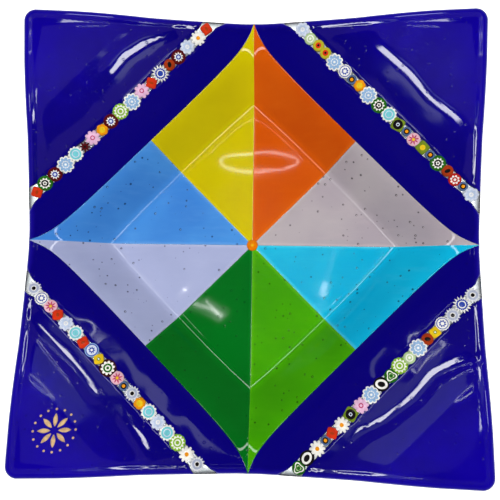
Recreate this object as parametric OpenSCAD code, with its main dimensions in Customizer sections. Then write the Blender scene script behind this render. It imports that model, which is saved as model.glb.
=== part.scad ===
// Square art glass bowl, fused flat from cut glass and slumped over a mould.
// Every piece is drawn on the flat blank as [u, v] in millimetres from its centre,
// and slump() then carries the blank's points to the finished bowl.
// The origin is the middle of the floor's underside, and +Z is up.

/* [Blank] */
// Half the width of the square blank before it is slumped
blank_half = 135; // [128:1:140]
// Radius of the blank's corners
corner_r = 7; // [4:1:9]
// Thickness of the clear base sheet
base_t = 3; // [2:0.5:3.5]
// Thickness of the coloured glass fused on top of it
tile_t = 3; // [2:0.5:3.5]
// How far the fire-polished rim is drawn in at each face
rim_round = 1.2; // [0.6:0.1:1.5]
// Gap left between neighbouring pieces of glass
seam_gap = 0.1; // [0.05:0.05:0.2]

/* [Murrine] */
// Distance from the centre to the inner side of the murrine channels
channel_at = 112; // [110:0.5:114]
// Width of each channel
channel_w = 9; // [9:0.5:11]
// Length of a row of murrine, from its first slice to its last
row_length = 141; // [140.5:0.5:143]
// How far slices stray to the sides of their row
row_wobble = 0.35; // [0:0.05:0.4]
// Height of a slice of cane
slice_h = 3.2; // [2.5:0.1:3.6]
// Radius of the murrina at the centre
centre_r = 3.4; // [2.5:0.1:4]

/* [Slump] */
// Distance from the centre to the middle of the bend at the foot of the wall
floor_reach = 60.5; // [58:0.5:62]
// Slope of the wall above that bend
wall_slope = 46; // [40:1:52]
// Slope of the shelf that carries the murrine
shelf_slope = 16; // [8:1:18]
// Slope of the wings outside the shelf
wing_slope = 22; // [15:1:26]
// Slope at the tips of the wings
tip_slope = 8; // [5:1:15]
// Roundness of the folds in the middle of each side
fold_r = 8.5; // [8:0.5:12]
// How quickly the inward pull fades towards a fold
pull_fade = 1.5; // [1.45:0.01:1.8]

/* [Ornament] */
// Place of the gilt ornament's centre on the blank, along each axis
ornament_at = 111; // [100:1:115]
// Radius of its ring of dots
ornament_r = 10.5; // [7:0.5:12]
// Thickness of the gilding
gilt_t = 0.15; // [0.1:0.05:0.3]

/* [Hidden] */

$fn = 48;
BASE_CELLS = 44;        // squares along each side of the base sheet's mesh
TILE_CELLS = 14;        // triangles along each side of a tile's mesh
BAND_CELLS = 30;        // squares along a band's mesh
WING_CELLS = 16;        // triangles along each side of a wing's mesh
SECTION_STEP = 1;       // step along the glass of the section's table
SECTION_STEPS = 230;    // number of those steps
BEND_HALF = 6;          // half the length of the bend at the foot of the wall
WALL_TOP = 84;          // end of the straight wall, along the glass from the centre
SHELF_START = 97;       // start of the shelf above the wall
WING_MIDDLE = 138;      // steepest place of the wings
TIP_START = 166;        // start of the wings' flatter tips
NORMAL_STEP = 1;        // distance between the points that give a surface its normal
PULL_SOFT = 2;          // softness of the inward pull's diamond corners
SMALL_PULL = 0.0001;    // keeps the pull above zero on the floor
SLICE_SEAT = 0.1;       // gap under a slice of cane
GILT_SEAT = 0.05;       // gap under the gilding
TURN_STEP = 37;         // degrees that each slice of cane is turned past the one before
WOBBLE_STEP = 148;      // degrees of a row's wobble from one slice to the next
CENTRE_H = 1.6;         // height of the centre murrina above the tiles
CENTRE_TOP = 0.72;      // radius of its top, as a part of its own
NOTCH = 0.84;           // radius of a lobed slice between its lobes, as a part of its own
BLOCK = 1.62;           // width of a block slice, in radii
PETALS = 8;             // petals of the ornament's flower, half as many as its dots
PETAL_CELLS = 6;        // squares along a petal's mesh
PETAL_START = 0.18;     // inner end of a petal, as a part of the ornament's radius
PETAL_LENGTH = 0.62;    // its length, as a part of the same
PETAL_END_W = 0.012;    // half its width at its ends, as a part of the same
PETAL_BULGE = 0.1;      // what its middle adds to that, as a part of the same
DOT_R = 0.06;           // radius of a dot, as a part of the same

// Cane patterns: [name, radius, lobes], where 0 lobes is a disc and 4 a block
CANES = [["red_block", 2.9, 4], ["amber_block", 2.9, 4], ["yellow_block", 2.7, 4],
    ["lime_block", 3.2, 4], ["yellow_eye", 2.8, 0], ["brown_eye", 2.8, 0],
    ["grey_eye", 2.3, 0], ["red_dots", 3.1, 0], ["green_star", 3.6, 0],
    ["lime_star", 3.9, 12], ["maroon_star", 3.6, 0], ["dark_star", 2.5, 8],
    ["blue_star", 3.4, 0], ["sky_flower", 4.2, 10], ["aqua_flower", 3.7, 12],
    ["pink_flower", 3.8, 8], ["clear_flower", 3.7, 8], ["flower_disc", 4.2, 0],
    ["daisy", 3.9, 10], ["pink_cross", 3.2, 0], ["blue_cog", 4.1, 16], ["lace", 3.7, 14],
    ["olive_disc", 3.5, 0], ["green_ring", 2.9, 0], ["cell_ring", 3.4, 0],
    ["oval_ring", 3.7, 0], ["green_triangle", 3.2, 0]];

// The rows of murrine, each anticlockwise, starting with the top right one
ROWS = [
    ["clear_flower", "grey_eye", "red_dots", "brown_eye", "green_star", "grey_eye",
        "lime_block", "pink_cross", "grey_eye", "olive_disc", "aqua_flower", "green_star",
        "sky_flower", "amber_block", "grey_eye", "cell_ring", "sky_flower", "yellow_eye",
        "yellow_eye", "green_ring", "clear_flower"],
    ["red_block", "daisy", "clear_flower", "maroon_star", "brown_eye", "blue_cog",
        "red_block", "pink_flower", "sky_flower", "lime_star", "maroon_star", "amber_block",
        "pink_flower", "dark_star", "aqua_flower", "sky_flower", "maroon_star", "green_star",
        "red_block"],
    ["lace", "cell_ring", "pink_cross", "red_block", "clear_flower", "aqua_flower",
        "red_block", "blue_star", "yellow_block", "flower_disc", "pink_cross", "grey_eye",
        "lace", "amber_block", "aqua_flower", "clear_flower", "aqua_flower", "lime_star",
        "daisy", "lace"],
    ["green_triangle", "oval_ring", "daisy", "grey_eye", "red_block", "daisy",
        "olive_disc", "pink_flower", "sky_flower", "oval_ring", "green_triangle", "lime_star",
        "green_ring", "sky_flower", "brown_eye", "yellow_block", "cell_ring", "lace",
        "blue_cog", "lace"]];

// Slope of the section in degrees against the distance along the glass from the centre
SLOPES = [[0, 0], [floor_reach - BEND_HALF, 0], [floor_reach + BEND_HALF, wall_slope],
    [WALL_TOP, wall_slope], [SHELF_START, shelf_slope], [channel_at, shelf_slope],
    [WING_MIDDLE, wing_slope], [TIP_START, tip_slope]];

// Section of the bowl at right angles to a side of its floor: [along the glass, reach, height]
SECTION = [for (i = 0, x = 0, z = 0; i <= SECTION_STEPS;
    x = x + SECTION_STEP * cos(lookup((i + 0.5) * SECTION_STEP, SLOPES)),
    z = z + SECTION_STEP * sin(lookup((i + 0.5) * SECTION_STEP, SLOPES)),
    i = i + 1) [i * SECTION_STEP, x, z]];
REACH = [for (s = SECTION) [s[0], s[1]]];
RISE = [for (s = SECTION) [s[1], s[2]]];

// Distance of a point from the centre, at right angles to the nearest side of the floor
function across(p, soft) =
    (sqrt(p[0] * p[0] + soft * soft) + sqrt(p[1] * p[1] + soft * soft) - soft) / sqrt(2);

// A coordinate after the inward pull, which fades out at the fold
function drawn_in(t, pull) = t - pull * t / sqrt(t * t + pow(pull_fade * pull, 2));

// Place in the slumped bowl of the blank's underside at p
function slump(p) =
    let (q = across(p, PULL_SOFT),
        pull = max((q - lookup(q, REACH)) / sqrt(2), SMALL_PULL),
        x = drawn_in(p[0], pull),
        y = drawn_in(p[1], pull))
    [x, y, lookup(across([x, y], fold_r), RISE)];

function unit(a) = a / norm(a);

// Direction across the glass at p, and the direction along it that follows v
function normal(p) =
    unit(cross(slump(p + [NORMAL_STEP, 0]) - slump(p - [NORMAL_STEP, 0]),
        slump(p + [0, NORMAL_STEP]) - slump(p - [0, NORMAL_STEP])));
function along(p, n) =
    let (d = slump(p + [0, NORMAL_STEP]) - slump(p - [0, NORMAL_STEP]))
    unit(d - n * (d * n));

// How far the rim is drawn in at height h above the underside of the glass
function rim_inset(h) = h <= 0 || h >= base_t + tile_t ? rim_round : 0;

// A point of the blank kept inside its rounded, drawn-in outline
function inside(p, h) =
    let (edge = blank_half - rim_inset(h),
        q = [max(-edge, min(edge, p[0])), max(-edge, min(edge, p[1]))],
        core = edge - corner_r,
        d = [abs(q[0]) - core, abs(q[1]) - core],
        k = max(d[0], d[1]) / norm(d))
    min(d[0], d[1]) <= 0 ? q : [sign(q[0]) * (core + d[0] * k), sign(q[1]) * (core + d[1] * k)];

// Point of the finished glass: p on the blank, h above its underside
function glass(p, h) = let (q = inside(p, h)) slump(q) + h * normal(q);

// Blank point after k quarter turns
function quarter(p, k) = k == 0 ? p : quarter([-p[1], p[0]], k - 1);

// Closed solid between two sheets of mesh points. The faces and the outline's loop both run
// anticlockwise from above.
module sheet_solid(low, high, faces, loop) {
    count = len(low);
    lifted = [for (f = faces) [count + f[2], count + f[1], count + f[0]]];
    walls = [for (i = [0:len(loop) - 1])
        let (a = loop[i], b = loop[(i + 1) % len(loop)])
        each [[a, count + a, b], [count + a, count + b, b]]];
    polyhedron(points = concat(low, high), faces = concat(faces, lifted, walls));
}

// Slumped glass over blank points, between two heights above the underside
module glass_solid(points, faces, loop, from_h, to_h) {
    sheet_solid([for (p = points) glass(p, from_h)], [for (p = points) glass(p, to_h)],
        faces, loop);
}

// Triangular mesh over blank corners a, b, c (anticlockwise) with n triangles along a side
function fan_points(a, b, c, n) =
    [for (i = [0:n], j = [0:i]) a + (b - a) * (i - j) / n + (c - a) * j / n];
function fan_at(i, j) = i * (i + 1) / 2 + j;
function fan_faces(n) = [for (i = [0:n - 1], j = [0:i]) each concat(
    [[fan_at(i, j), fan_at(i + 1, j), fan_at(i + 1, j + 1)]],
    j < i ? [[fan_at(i, j), fan_at(i + 1, j + 1), fan_at(i, j + 1)]] : [])];
function fan_loop(n) = concat([for (i = [0:n - 1]) fan_at(i, 0)],
    [for (j = [0:n - 1]) fan_at(n, j)], [for (i = [n:-1:1]) fan_at(i, i)]);

// Grid mesh over blank corners a, b, c, d (anticlockwise), n squares from a to b and m across
function grid_points(a, b, c, d, n, m) = [for (j = [0:m], i = [0:n])
    (a * (n - i) + b * i) / n * (m - j) / m + (d * (n - i) + c * i) / n * j / m];
function grid_loop(n, m) = concat([for (i = [0:n - 1]) i],
    [for (j = [0:m - 1]) j * (n + 1) + n],
    [for (i = [n:-1:1]) m * (n + 1) + i],
    [for (j = [m:-1:1]) j * (n + 1)]);

// Its triangles. With quarters, each square is cut beside the nearest side of the floor.
function grid_faces(n, m, quarters = false) = [for (j = [0:m - 1], i = [0:n - 1])
    let (a = j * (n + 1) + i, b = a + 1, c = b + n + 1, d = a + n + 1,
        falling = !quarters || (i < n / 2) == (j < m / 2))
    each (falling ? [[a, b, d], [b, c, d]] : [[a, b, c], [a, c, d]])];

// The clear sheet under everything
module base_sheet() {
    h = blank_half;
    color("azure", 0.4)
    glass_solid(grid_points([-h, -h], [h, -h], [h, h], [-h, h], BASE_CELLS, BASE_CELLS),
        grid_faces(BASE_CELLS, BASE_CELLS, true), grid_loop(BASE_CELLS, BASE_CELLS), 0, base_t);
}

// Piece of coloured glass over a blank triangle, after k quarter turns
module top_triangle(a, b, c, n, k) {
    points = fan_points(quarter(a, k), quarter(b, k), quarter(c, k), n);
    glass_solid(points, fan_faces(n), fan_loop(n), base_t, base_t + tile_t);
}

// One of the two tiles in quarter k, from the centre to the middle of a side of the blank:
// the first lies beside the fold that the quarter starts from, the second beside the next
module tile(k, second) {
    g = seam_gap / 2;
    slant = g * sqrt(2);
    middle = blank_half / 2;
    a = [g + slant, g];
    b = [blank_half - g - slant, g];
    c = [middle, middle - slant];
    if (second)
        top_triangle([a[1], a[0]], [c[1], c[0]], [b[1], b[0]], TILE_CELLS, k);
    else
        top_triangle(a, b, c, TILE_CELLS, k);
}

// Cobalt band between the tiles and a murrine channel, in quarter k
module band(k) {
    h = blank_half;
    low = seam_gap / 2 * sqrt(2);
    high = channel_at * sqrt(2) - h;
    glass_solid(grid_points(quarter([h, high], k), quarter([high, h], k),
        quarter([low, h], k), quarter([h, low], k), BAND_CELLS, 2),
        grid_faces(BAND_CELLS, 2), grid_loop(BAND_CELLS, 2), base_t, base_t + tile_t);
}

// Cobalt wing outside a murrine channel, in quarter k
module wing(k) {
    h = blank_half;
    from = (channel_at + channel_w) * sqrt(2) - h;
    top_triangle([h, from], [h, h], [from, h], WING_CELLS, k);
}

// Moves its children on to the glass: origin at p and height h, +Z out of the glass
module on_glass(p, h) {
    o = glass(p, h);
    n = normal(p);
    y = along(p, n);
    x = cross(y, n);
    multmatrix([[x[0], y[0], n[0], o[0]], [x[1], y[1], n[1], o[1]], [x[2], y[2], n[2], o[2]],
        [0, 0, 0, 1]])
    children();
}

// Slice of cane standing on z = 0
module slice(r, lobes) {
    if (lobes == 0) {
        cylinder(h = slice_h, r = r);
    } else if (lobes == 4) {
        intersection() {
            cylinder(h = slice_h, r = r);
            translate([-BLOCK * r / 2, -BLOCK * r / 2, 0])
            cube([BLOCK * r, BLOCK * r, slice_h]);
        }
    } else {
        linear_extrude(slice_h)
        polygon([for (i = [0:2 * lobes - 1]) let (q = i % 2 == 0 ? r : r * NOTCH, t = 180 * i / lobes)
            [q * cos(t), q * sin(t)]]);
    }
}

// Width of the first i slices of a row, and the place of the one after them along it
function pattern(name) = CANES[search([name], CANES)[0]];
function width_of(row, i) = i == 0 ? 0 : width_of(row, i - 1) + 2 * pattern(row[i - 1])[1];
function place_of(row, i) =
    let (spare = (row_length - width_of(row, len(row))) / (len(row) - 1))
    width_of(row, i) + pattern(row[i])[1] + i * spare - row_length / 2;

// Every slice of one cane pattern, in all four rows
module murrine(name) {
    cane = pattern(name);
    middle = channel_at + channel_w / 2;
    for (k = [0:3], i = [0:len(ROWS[k]) - 1]) {
        if (ROWS[k][i] == name) {
            out = middle + row_wobble * sin((i + k) * WOBBLE_STEP);
            t = place_of(ROWS[k], i);
            on_glass(quarter([out - t, out + t] / sqrt(2), k), base_t + SLICE_SEAT)
            rotate([0, 0, (i + k) * TURN_STEP])
            slice(cane[1], cane[2]);
        }
    }
}

// Murrina where the eight tiles meet, standing on them
module murrina_centre() {
    color("orange")
    translate([0, 0, base_t + tile_t])
    cylinder(h = CENTRE_H, r1 = centre_r, r2 = centre_r * CENTRE_TOP);
}

// Thin gilding on the bottom left wing: a flower of narrow petals in a ring of dots
module gilt_ornament() {
    centre = [-ornament_at, -ornament_at];
    low = base_t + tile_t + GILT_SEAT;
    color("goldenrod") {
        for (i = [0:2 * PETALS - 1]) {
            t = 180 * i / PETALS;
            on_glass(centre + ornament_r * [cos(t), sin(t)], low)
            cylinder(h = gilt_t, r = DOT_R * ornament_r);
        }
        for (i = [0:PETALS - 1]) {
            glass_solid([for (p = petal_points()) centre + turned(p, 360 * i / PETALS)],
                grid_faces(PETAL_CELLS, 1), grid_loop(PETAL_CELLS, 1), low, low + gilt_t);
        }
    }
}

function turned(p, t) = [p[0] * cos(t) - p[1] * sin(t), p[0] * sin(t) + p[1] * cos(t)];

// Lens-shaped petal along +X, as a grid two points wide
function petal_points() = [for (side = [-1, 1], i = [0:PETAL_CELLS])
    [ornament_r * (PETAL_START + PETAL_LENGTH * i / PETAL_CELLS),
    side * ornament_r * (PETAL_END_W + PETAL_BULGE * sin(180 * i / PETAL_CELLS))]];

module tile_yellow() { color("gold") tile(1, false); }
module tile_orange() { color("darkorange") tile(0, true); }
module tile_pearl() { color("thistle") tile(0, false); }
module tile_cyan() { color("deepskyblue") tile(3, true); }
module tile_lime() { color("limegreen") tile(3, false); }
module tile_dark_green() { color("darkgreen") tile(2, true); }
module tile_lilac() { color("lavender") tile(2, false); }
module tile_sky() { color("cornflowerblue") tile(1, true); }
module band_top_right() { color("navy") band(0); }
module band_top_left() { color("navy") band(1); }
module band_bottom_left() { color("navy") band(2); }
module band_bottom_right() { color("navy") band(3); }
module wing_top_right() { color("navy") wing(0); }
module wing_top_left() { color("navy") wing(1); }
module wing_bottom_left() { color("navy") wing(2); }
module wing_bottom_right() { color("navy") wing(3); }

module murrine_red_block() { color("orangered") murrine("red_block"); }
module murrine_amber_block() { color("orange") murrine("amber_block"); }
module murrine_yellow_block() { color("gold") murrine("yellow_block"); }
module murrine_lime_block() { color("yellowgreen") murrine("lime_block"); }
module murrine_yellow_eye() { color("yellow") murrine("yellow_eye"); }
module murrine_brown_eye() { color("saddlebrown") murrine("brown_eye"); }
module murrine_grey_eye() { color("slategray") murrine("grey_eye"); }
module murrine_red_dots() { color("red") murrine("red_dots"); }
module murrine_green_star() { color("green") murrine("green_star"); }
module murrine_lime_star() { color("yellowgreen") murrine("lime_star"); }
module murrine_maroon_star() { color("maroon") murrine("maroon_star"); }
module murrine_dark_star() { color("indigo") murrine("dark_star"); }
module murrine_blue_star() { color("royalblue") murrine("blue_star"); }
module murrine_sky_flower() { color("lightskyblue") murrine("sky_flower"); }
module murrine_aqua_flower() { color("aquamarine") murrine("aqua_flower"); }
module murrine_pink_flower() { color("lightpink") murrine("pink_flower"); }
module murrine_clear_flower() { color("lightcyan") murrine("clear_flower"); }
module murrine_flower_disc() { color("brown") murrine("flower_disc"); }
module murrine_daisy() { color("white") murrine("daisy"); }
module murrine_pink_cross() { color("pink") murrine("pink_cross"); }
module murrine_blue_cog() { color("steelblue") murrine("blue_cog"); }
module murrine_lace() { color("lightsteelblue") murrine("lace"); }
module murrine_olive_disc() { color("olivedrab") murrine("olive_disc"); }
module murrine_green_ring() { color("palegreen") murrine("green_ring"); }
module murrine_cell_ring() { color("ghostwhite") murrine("cell_ring"); }
module murrine_oval_ring() { color("darkslategray") murrine("oval_ring"); }
module murrine_green_triangle() { color("seagreen") murrine("green_triangle"); }

base_sheet();
tile_yellow();
tile_orange();
tile_pearl();
tile_cyan();
tile_lime();
tile_dark_green();
tile_lilac();
tile_sky();
band_top_right();
band_top_left();
band_bottom_left();
band_bottom_right();
wing_top_right();
wing_top_left();
wing_bottom_left();
wing_bottom_right();
murrina_centre();
murrine_red_block();
murrine_amber_block();
murrine_yellow_block();
murrine_lime_block();
murrine_yellow_eye();
murrine_brown_eye();
murrine_grey_eye();
murrine_red_dots();
murrine_green_star();
murrine_lime_star();
murrine_maroon_star();
murrine_dark_star();
murrine_blue_star();
murrine_sky_flower();
murrine_aqua_flower();
murrine_pink_flower();
murrine_clear_flower();
murrine_flower_disc();
murrine_daisy();
murrine_pink_cross();
murrine_blue_cog();
murrine_lace();
murrine_olive_disc();
murrine_green_ring();
murrine_cell_ring();
murrine_oval_ring();
murrine_green_triangle();
gilt_ornament();
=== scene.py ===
"""Square fused glass bowl with rows of murrine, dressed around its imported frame.

Every piece of glass is laid out flat on the blank, as (u, v, h) in metres: u and v from the blank's
centre, and h above its underside. Slump.carried() then takes those points to the finished bowl.
"""

import logging
import math
from dataclasses import dataclass, field
from enum import Enum
from typing import Callable, Iterable, Optional, Sequence, Union

import bmesh
import bpy
import numpy as np
from mathutils import Matrix, Vector, noise


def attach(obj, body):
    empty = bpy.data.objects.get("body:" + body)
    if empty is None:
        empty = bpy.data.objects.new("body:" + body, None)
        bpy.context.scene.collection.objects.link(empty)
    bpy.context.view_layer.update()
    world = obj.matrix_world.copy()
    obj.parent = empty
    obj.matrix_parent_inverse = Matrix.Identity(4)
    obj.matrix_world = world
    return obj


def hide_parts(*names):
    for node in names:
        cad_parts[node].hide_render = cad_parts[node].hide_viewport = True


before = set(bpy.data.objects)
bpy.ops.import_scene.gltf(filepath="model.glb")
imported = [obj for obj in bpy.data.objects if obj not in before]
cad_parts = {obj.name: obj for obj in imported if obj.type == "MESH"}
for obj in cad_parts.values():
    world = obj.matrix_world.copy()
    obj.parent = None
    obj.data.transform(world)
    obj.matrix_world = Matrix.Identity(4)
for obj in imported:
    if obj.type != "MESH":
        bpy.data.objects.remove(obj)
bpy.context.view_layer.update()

LOG = logging.getLogger("glass_bowl")
MM = 0.001
ROOT2 = math.sqrt(2)
DIAGONAL = 1 / ROOT2
TOUCHING = 1e-7  # points nearer than this count as one
FAR = 1.0  # distance kept for a point that has no seam near it
GLASS_IOR = 1.5

Colour = tuple[float, float, float]
Socket = Union[bpy.types.NodeSocket, float, Sequence[float]]


def srgb(red: int, green: int, blue: int) -> Colour:
    """Turns a colour picked on a screen into linear light.

    Args:
        red: Red, from 0 to 255.
        green: Green, from 0 to 255.
        blue: Blue, from 0 to 255.

    Returns:
        The colour in linear light.
    """
    parts = [value / 255 for value in (red, green, blue)]
    return tuple(p / 12.92 if p <= 0.04045 else ((p + 0.055) / 1.055) ** 2.4 for p in parts)


def smooth_step(value: np.ndarray) -> np.ndarray:
    """Eases a share from 0 to 1, with flat ends."""
    share = np.clip(value, 0, 1)
    return share * share * (3 - 2 * share)


# ---------------------------------------------------------------------------------------- the blank


# Usual distance between two lumps, and slice of the noise, for each of the three unevennesses
FINE_NOISE, BROAD_NOISE, WIDE_NOISE = (11 * MM, 3.0), (34 * MM, 9.0), (60 * MM, 17.0)


def sampled_noise(u: np.ndarray, v: np.ndarray, length: float, seed: float) -> np.ndarray:
    """Smooth unevenness over the blank.

    Args:
        u: Blank coordinates to the right.
        v: Blank coordinates away from the viewer.
        length: Usual distance between two lumps.
        seed: Slice of the noise that is used.

    Returns:
        A value of about -1 to 1 for each point.
    """
    return np.array([noise.noise(Vector((a / length, b / length, seed))) for a, b in zip(u, v)])


def quarter_turned(points: np.ndarray, turns: int) -> np.ndarray:
    """Turns rows of u, v and h anticlockwise.

    Args:
        points: The rows.
        turns: Number of quarter turns.

    Returns:
        The turned rows.
    """
    for _ in range(turns):
        points = np.stack([-points[:, 1], points[:, 0], points[:, 2]], axis=1)
    return points


@dataclass(frozen=True)
class Crease:
    """Low ridge that the softened glass has pushed up beside a row of murrine.

    Args:
        turns: Quarter turns to its wing.
        ends: Its places along the row, from end to end.
        reach: Its distances from the centre at those places.
        height: Its height.
        width: Distance over which it falls away.
        fade: Distance over which its ends sink into the wing.
    """

    turns: int
    ends: tuple[float, ...]
    reach: tuple[float, ...]
    height: float = 0.42 * MM
    width: float = 3.2 * MM
    fade: float = 9 * MM

    def rise(self, u: np.ndarray, v: np.ndarray) -> np.ndarray:
        """Height that it adds at points of the blank.

        Args:
            u: Blank coordinates to the right.
            v: Blank coordinates away from the viewer.

        Returns:
            The added height of each point.
        """
        for _ in range(self.turns):
            u, v = v, -u
        p, t = (u + v) / ROOT2, (v - u) / ROOT2
        middle = np.interp(t, self.ends, self.reach)
        fade_in = smooth_step((t - self.ends[0]) / self.fade)
        fade_out = smooth_step((self.ends[-1] - t) / self.fade)
        return self.height * fade_in * fade_out * np.exp(-(((p - middle) / self.width) ** 2))


# The creases beside the rows, in metres
CREASES = (
    Crease(2, (-0.064, -0.04, -0.02, 0.0, 0.012), (0.130, 0.130, 0.1295, 0.132, 0.127)),
    Crease(2, (0.012, 0.022, 0.036, 0.052), (0.126, 0.1285, 0.131, 0.134)),
    Crease(3, (-0.064, -0.03, -0.016, 0.004, 0.02, 0.034, 0.056),
           (0.126, 0.1275, 0.132, 0.1345, 0.133, 0.1375, 0.149)),
    Crease(1, (-0.062, -0.05, -0.036, -0.022, -0.002), (0.1285, 0.1315, 0.1375, 0.14, 0.1375)),
    Crease(0, (-0.046, -0.028, -0.012, 0.005, 0.018, 0.038), (0.143, 0.143, 0.141, 0.143, 0.1425, 0.141)),
)


@dataclass
class Slump:
    """The flat blank, and how it sinks into the mould. It repeats the frame's own numbers.

    Distances are from the centre along the section, and slopes are in degrees.

    Args:
        half: Half the blank's side.
        corner: Radius of its corners.
        base: Thickness of the clear sheet.
        thick: Thickness of the whole.
        floor_reach: Distance to the middle of the bend round the floor.
        bend_half: Half the length of that bend.
        wall_top: Distance to the top of the wall.
        shelf_start: Distance to the start of the shelf.
        channel_at: Distance to the channel for the murrine.
        channel_w: Width of the channel.
        wing_middle: Distance at which the wing is steepest.
        tip_start: Distance to the start of its tip.
        wall_slope: Slope of the wall.
        shelf_slope: Slope of the shelf.
        wing_slope: Slope of the wing where it is steepest.
        tip_slope: Slope of its tip.
        fold_r: Softness of the folds at the middles of the sides.
        pull_fade: Where the pull turns round at a fold, as a multiple of the pull.
        pull_soft: Softness of the folds in the pull itself.
        section_step: Length of a step up the section.
        section_steps: Number of steps.
        rim_r: Radius of the fire-polished rim.
        rim_least: Share of the thickness left at the very edge.
        hollow_at: Distance of the rim's faint hollow from the edge.
        hollow_w: Width of the hollow.
        hollow_depth: Depth of the hollow, as a share of the thickness.
        seat: How far the pieces on top sink into the base sheet.
        shy: How far the outline stays inside the frame's.
        row_lump: Height of the unevenness along the rows.
        row_lump_w: Distance over which it fades beside them.
        broad_lump: Height of the broader unevenness.
        wing_lump: Height added to that on the wings.
        wing_fade: Distance over which the addition sets in.
        wide_lump: Height of the widest unevenness.
        creases: Ridges on the wings.
        along: Distances at the section's steps.
        reach: Level distances at those steps, once slumped.
        rise: Heights at those steps.
    """

    half: float = 135 * MM
    corner: float = 7 * MM
    base: float = 3 * MM
    thick: float = 6 * MM
    floor_reach: float = 60.5 * MM
    bend_half: float = 6 * MM
    wall_top: float = 84 * MM
    shelf_start: float = 97 * MM
    channel_at: float = 112 * MM
    channel_w: float = 9 * MM
    wing_middle: float = 138 * MM
    tip_start: float = 166 * MM
    wall_slope: float = 46
    shelf_slope: float = 16
    wing_slope: float = 22
    tip_slope: float = 8
    fold_r: float = 8.5 * MM
    pull_fade: float = 1.5
    pull_soft: float = 2 * MM
    section_step: float = 1 * MM
    section_steps: int = 230
    rim_r: float = 3.2 * MM
    rim_least: float = 0.12
    hollow_at: float = 5.4 * MM
    hollow_w: float = 1.3 * MM
    hollow_depth: float = 0.11
    seat: float = 0.05 * MM
    shy: float = 0.1 * MM
    row_lump: float = 0.16 * MM
    row_lump_w: float = 13 * MM
    broad_lump: float = 0.04 * MM
    wing_lump: float = 0.05 * MM
    wing_fade: float = 20 * MM
    wide_lump: float = 0.05 * MM
    creases: tuple[Crease, ...] = CREASES
    along: np.ndarray = field(init=False)
    reach: np.ndarray = field(init=False)
    rise: np.ndarray = field(init=False)

    def __post_init__(self) -> None:
        """Walks up the section once and keeps its reach and height."""
        places = [0, self.floor_reach - self.bend_half, self.floor_reach + self.bend_half,
                  self.wall_top, self.shelf_start, self.channel_at, self.wing_middle, self.tip_start]
        slopes = [0, 0, self.wall_slope, self.wall_slope, self.shelf_slope, self.shelf_slope,
                  self.wing_slope, self.tip_slope]
        self.along = np.arange(self.section_steps + 1) * self.section_step
        angles = np.radians(np.interp(self.along + self.section_step / 2, places, slopes))
        self.reach = np.concatenate([[0], np.cumsum(np.cos(angles))[:-1]]) * self.section_step
        self.rise = np.concatenate([[0], np.cumsum(np.sin(angles))[:-1]]) * self.section_step

    @property
    def tile_reach(self) -> float:
        """Distance from the centre to the outer side of the tiles."""
        return self.half / ROOT2

    def across(self, x: np.ndarray, y: np.ndarray, soft: float) -> np.ndarray:
        """Distance from the centre, at right angles to the nearest side of the floor."""
        return (np.sqrt(x * x + soft * soft) + np.sqrt(y * y + soft * soft) - soft) / ROOT2

    def underside(self, u: np.ndarray, v: np.ndarray) -> np.ndarray:
        """Places of the blank's underside once it is slumped.

        Args:
            u: Blank coordinates to the right.
            v: Blank coordinates away from the viewer.

        Returns:
            One row of x, y and z for each point.
        """
        q = self.across(u, v, self.pull_soft)
        pull = np.maximum((q - np.interp(q, self.along, self.reach)) / ROOT2, 1e-7)
        x = u - pull * u / np.sqrt(u * u + (self.pull_fade * pull) ** 2)
        y = v - pull * v / np.sqrt(v * v + (self.pull_fade * pull) ** 2)
        z = np.interp(self.across(x, y, self.fold_r), self.reach, self.rise)
        return np.stack([x, y, z], axis=1)

    def normals(self, u: np.ndarray, v: np.ndarray) -> np.ndarray:
        """Directions straight out of the glass.

        Args:
            u: Blank coordinates to the right.
            v: Blank coordinates away from the viewer.

        Returns:
            One row for each point.
        """
        step = 1 * MM
        a = self.underside(u + step, v) - self.underside(u - step, v)
        b = self.underside(u, v + step) - self.underside(u, v - step)
        out = np.cross(a, b)
        return out / np.linalg.norm(out, axis=1, keepdims=True)

    def rim_distance(self, u: np.ndarray, v: np.ndarray) -> np.ndarray:
        """Distance from the blank's outline, with its corners still square."""
        return np.maximum(self.half - np.maximum(np.abs(u), np.abs(v)), 0)

    def cornered(self, u: np.ndarray, v: np.ndarray) -> tuple[np.ndarray, np.ndarray]:
        """Draws the blank's square corners in to quarter circles.

        Args:
            u: Blank coordinates to the right.
            v: Blank coordinates away from the viewer.

        Returns:
            The new coordinates.
        """
        core = self.half - self.corner
        du, dv = np.abs(u) - core, np.abs(v) - core
        inner = np.minimum(du, dv) > 0
        k = np.where(inner, np.maximum(du, dv) / np.maximum(np.hypot(du, dv), 1e-9), 1)
        return (np.where(inner, np.sign(u) * (core + du * k), u),
                np.where(inner, np.sign(v) * (core + dv * k), v))

    def polished(self, u: np.ndarray, v: np.ndarray, h: np.ndarray) -> np.ndarray:
        """Heights once the fire has rounded the rim and left a faint hollow inside it.

        Args:
            u: Blank coordinates to the right.
            v: Blank coordinates away from the viewer.
            h: Heights before the fire.

        Returns:
            The new heights.
        """
        d = self.rim_distance(u, v)
        inset = np.clip((self.rim_r - d) / self.rim_r, 0, 1)
        share = np.maximum(np.sqrt(1 - inset * inset), self.rim_least)
        hollow = self.hollow_depth * np.exp(-(((d - self.hollow_at) / self.hollow_w) ** 2))
        share = np.where(h > self.base, share * (1 - hollow), share)
        return self.base + (h - self.base) * share

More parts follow.
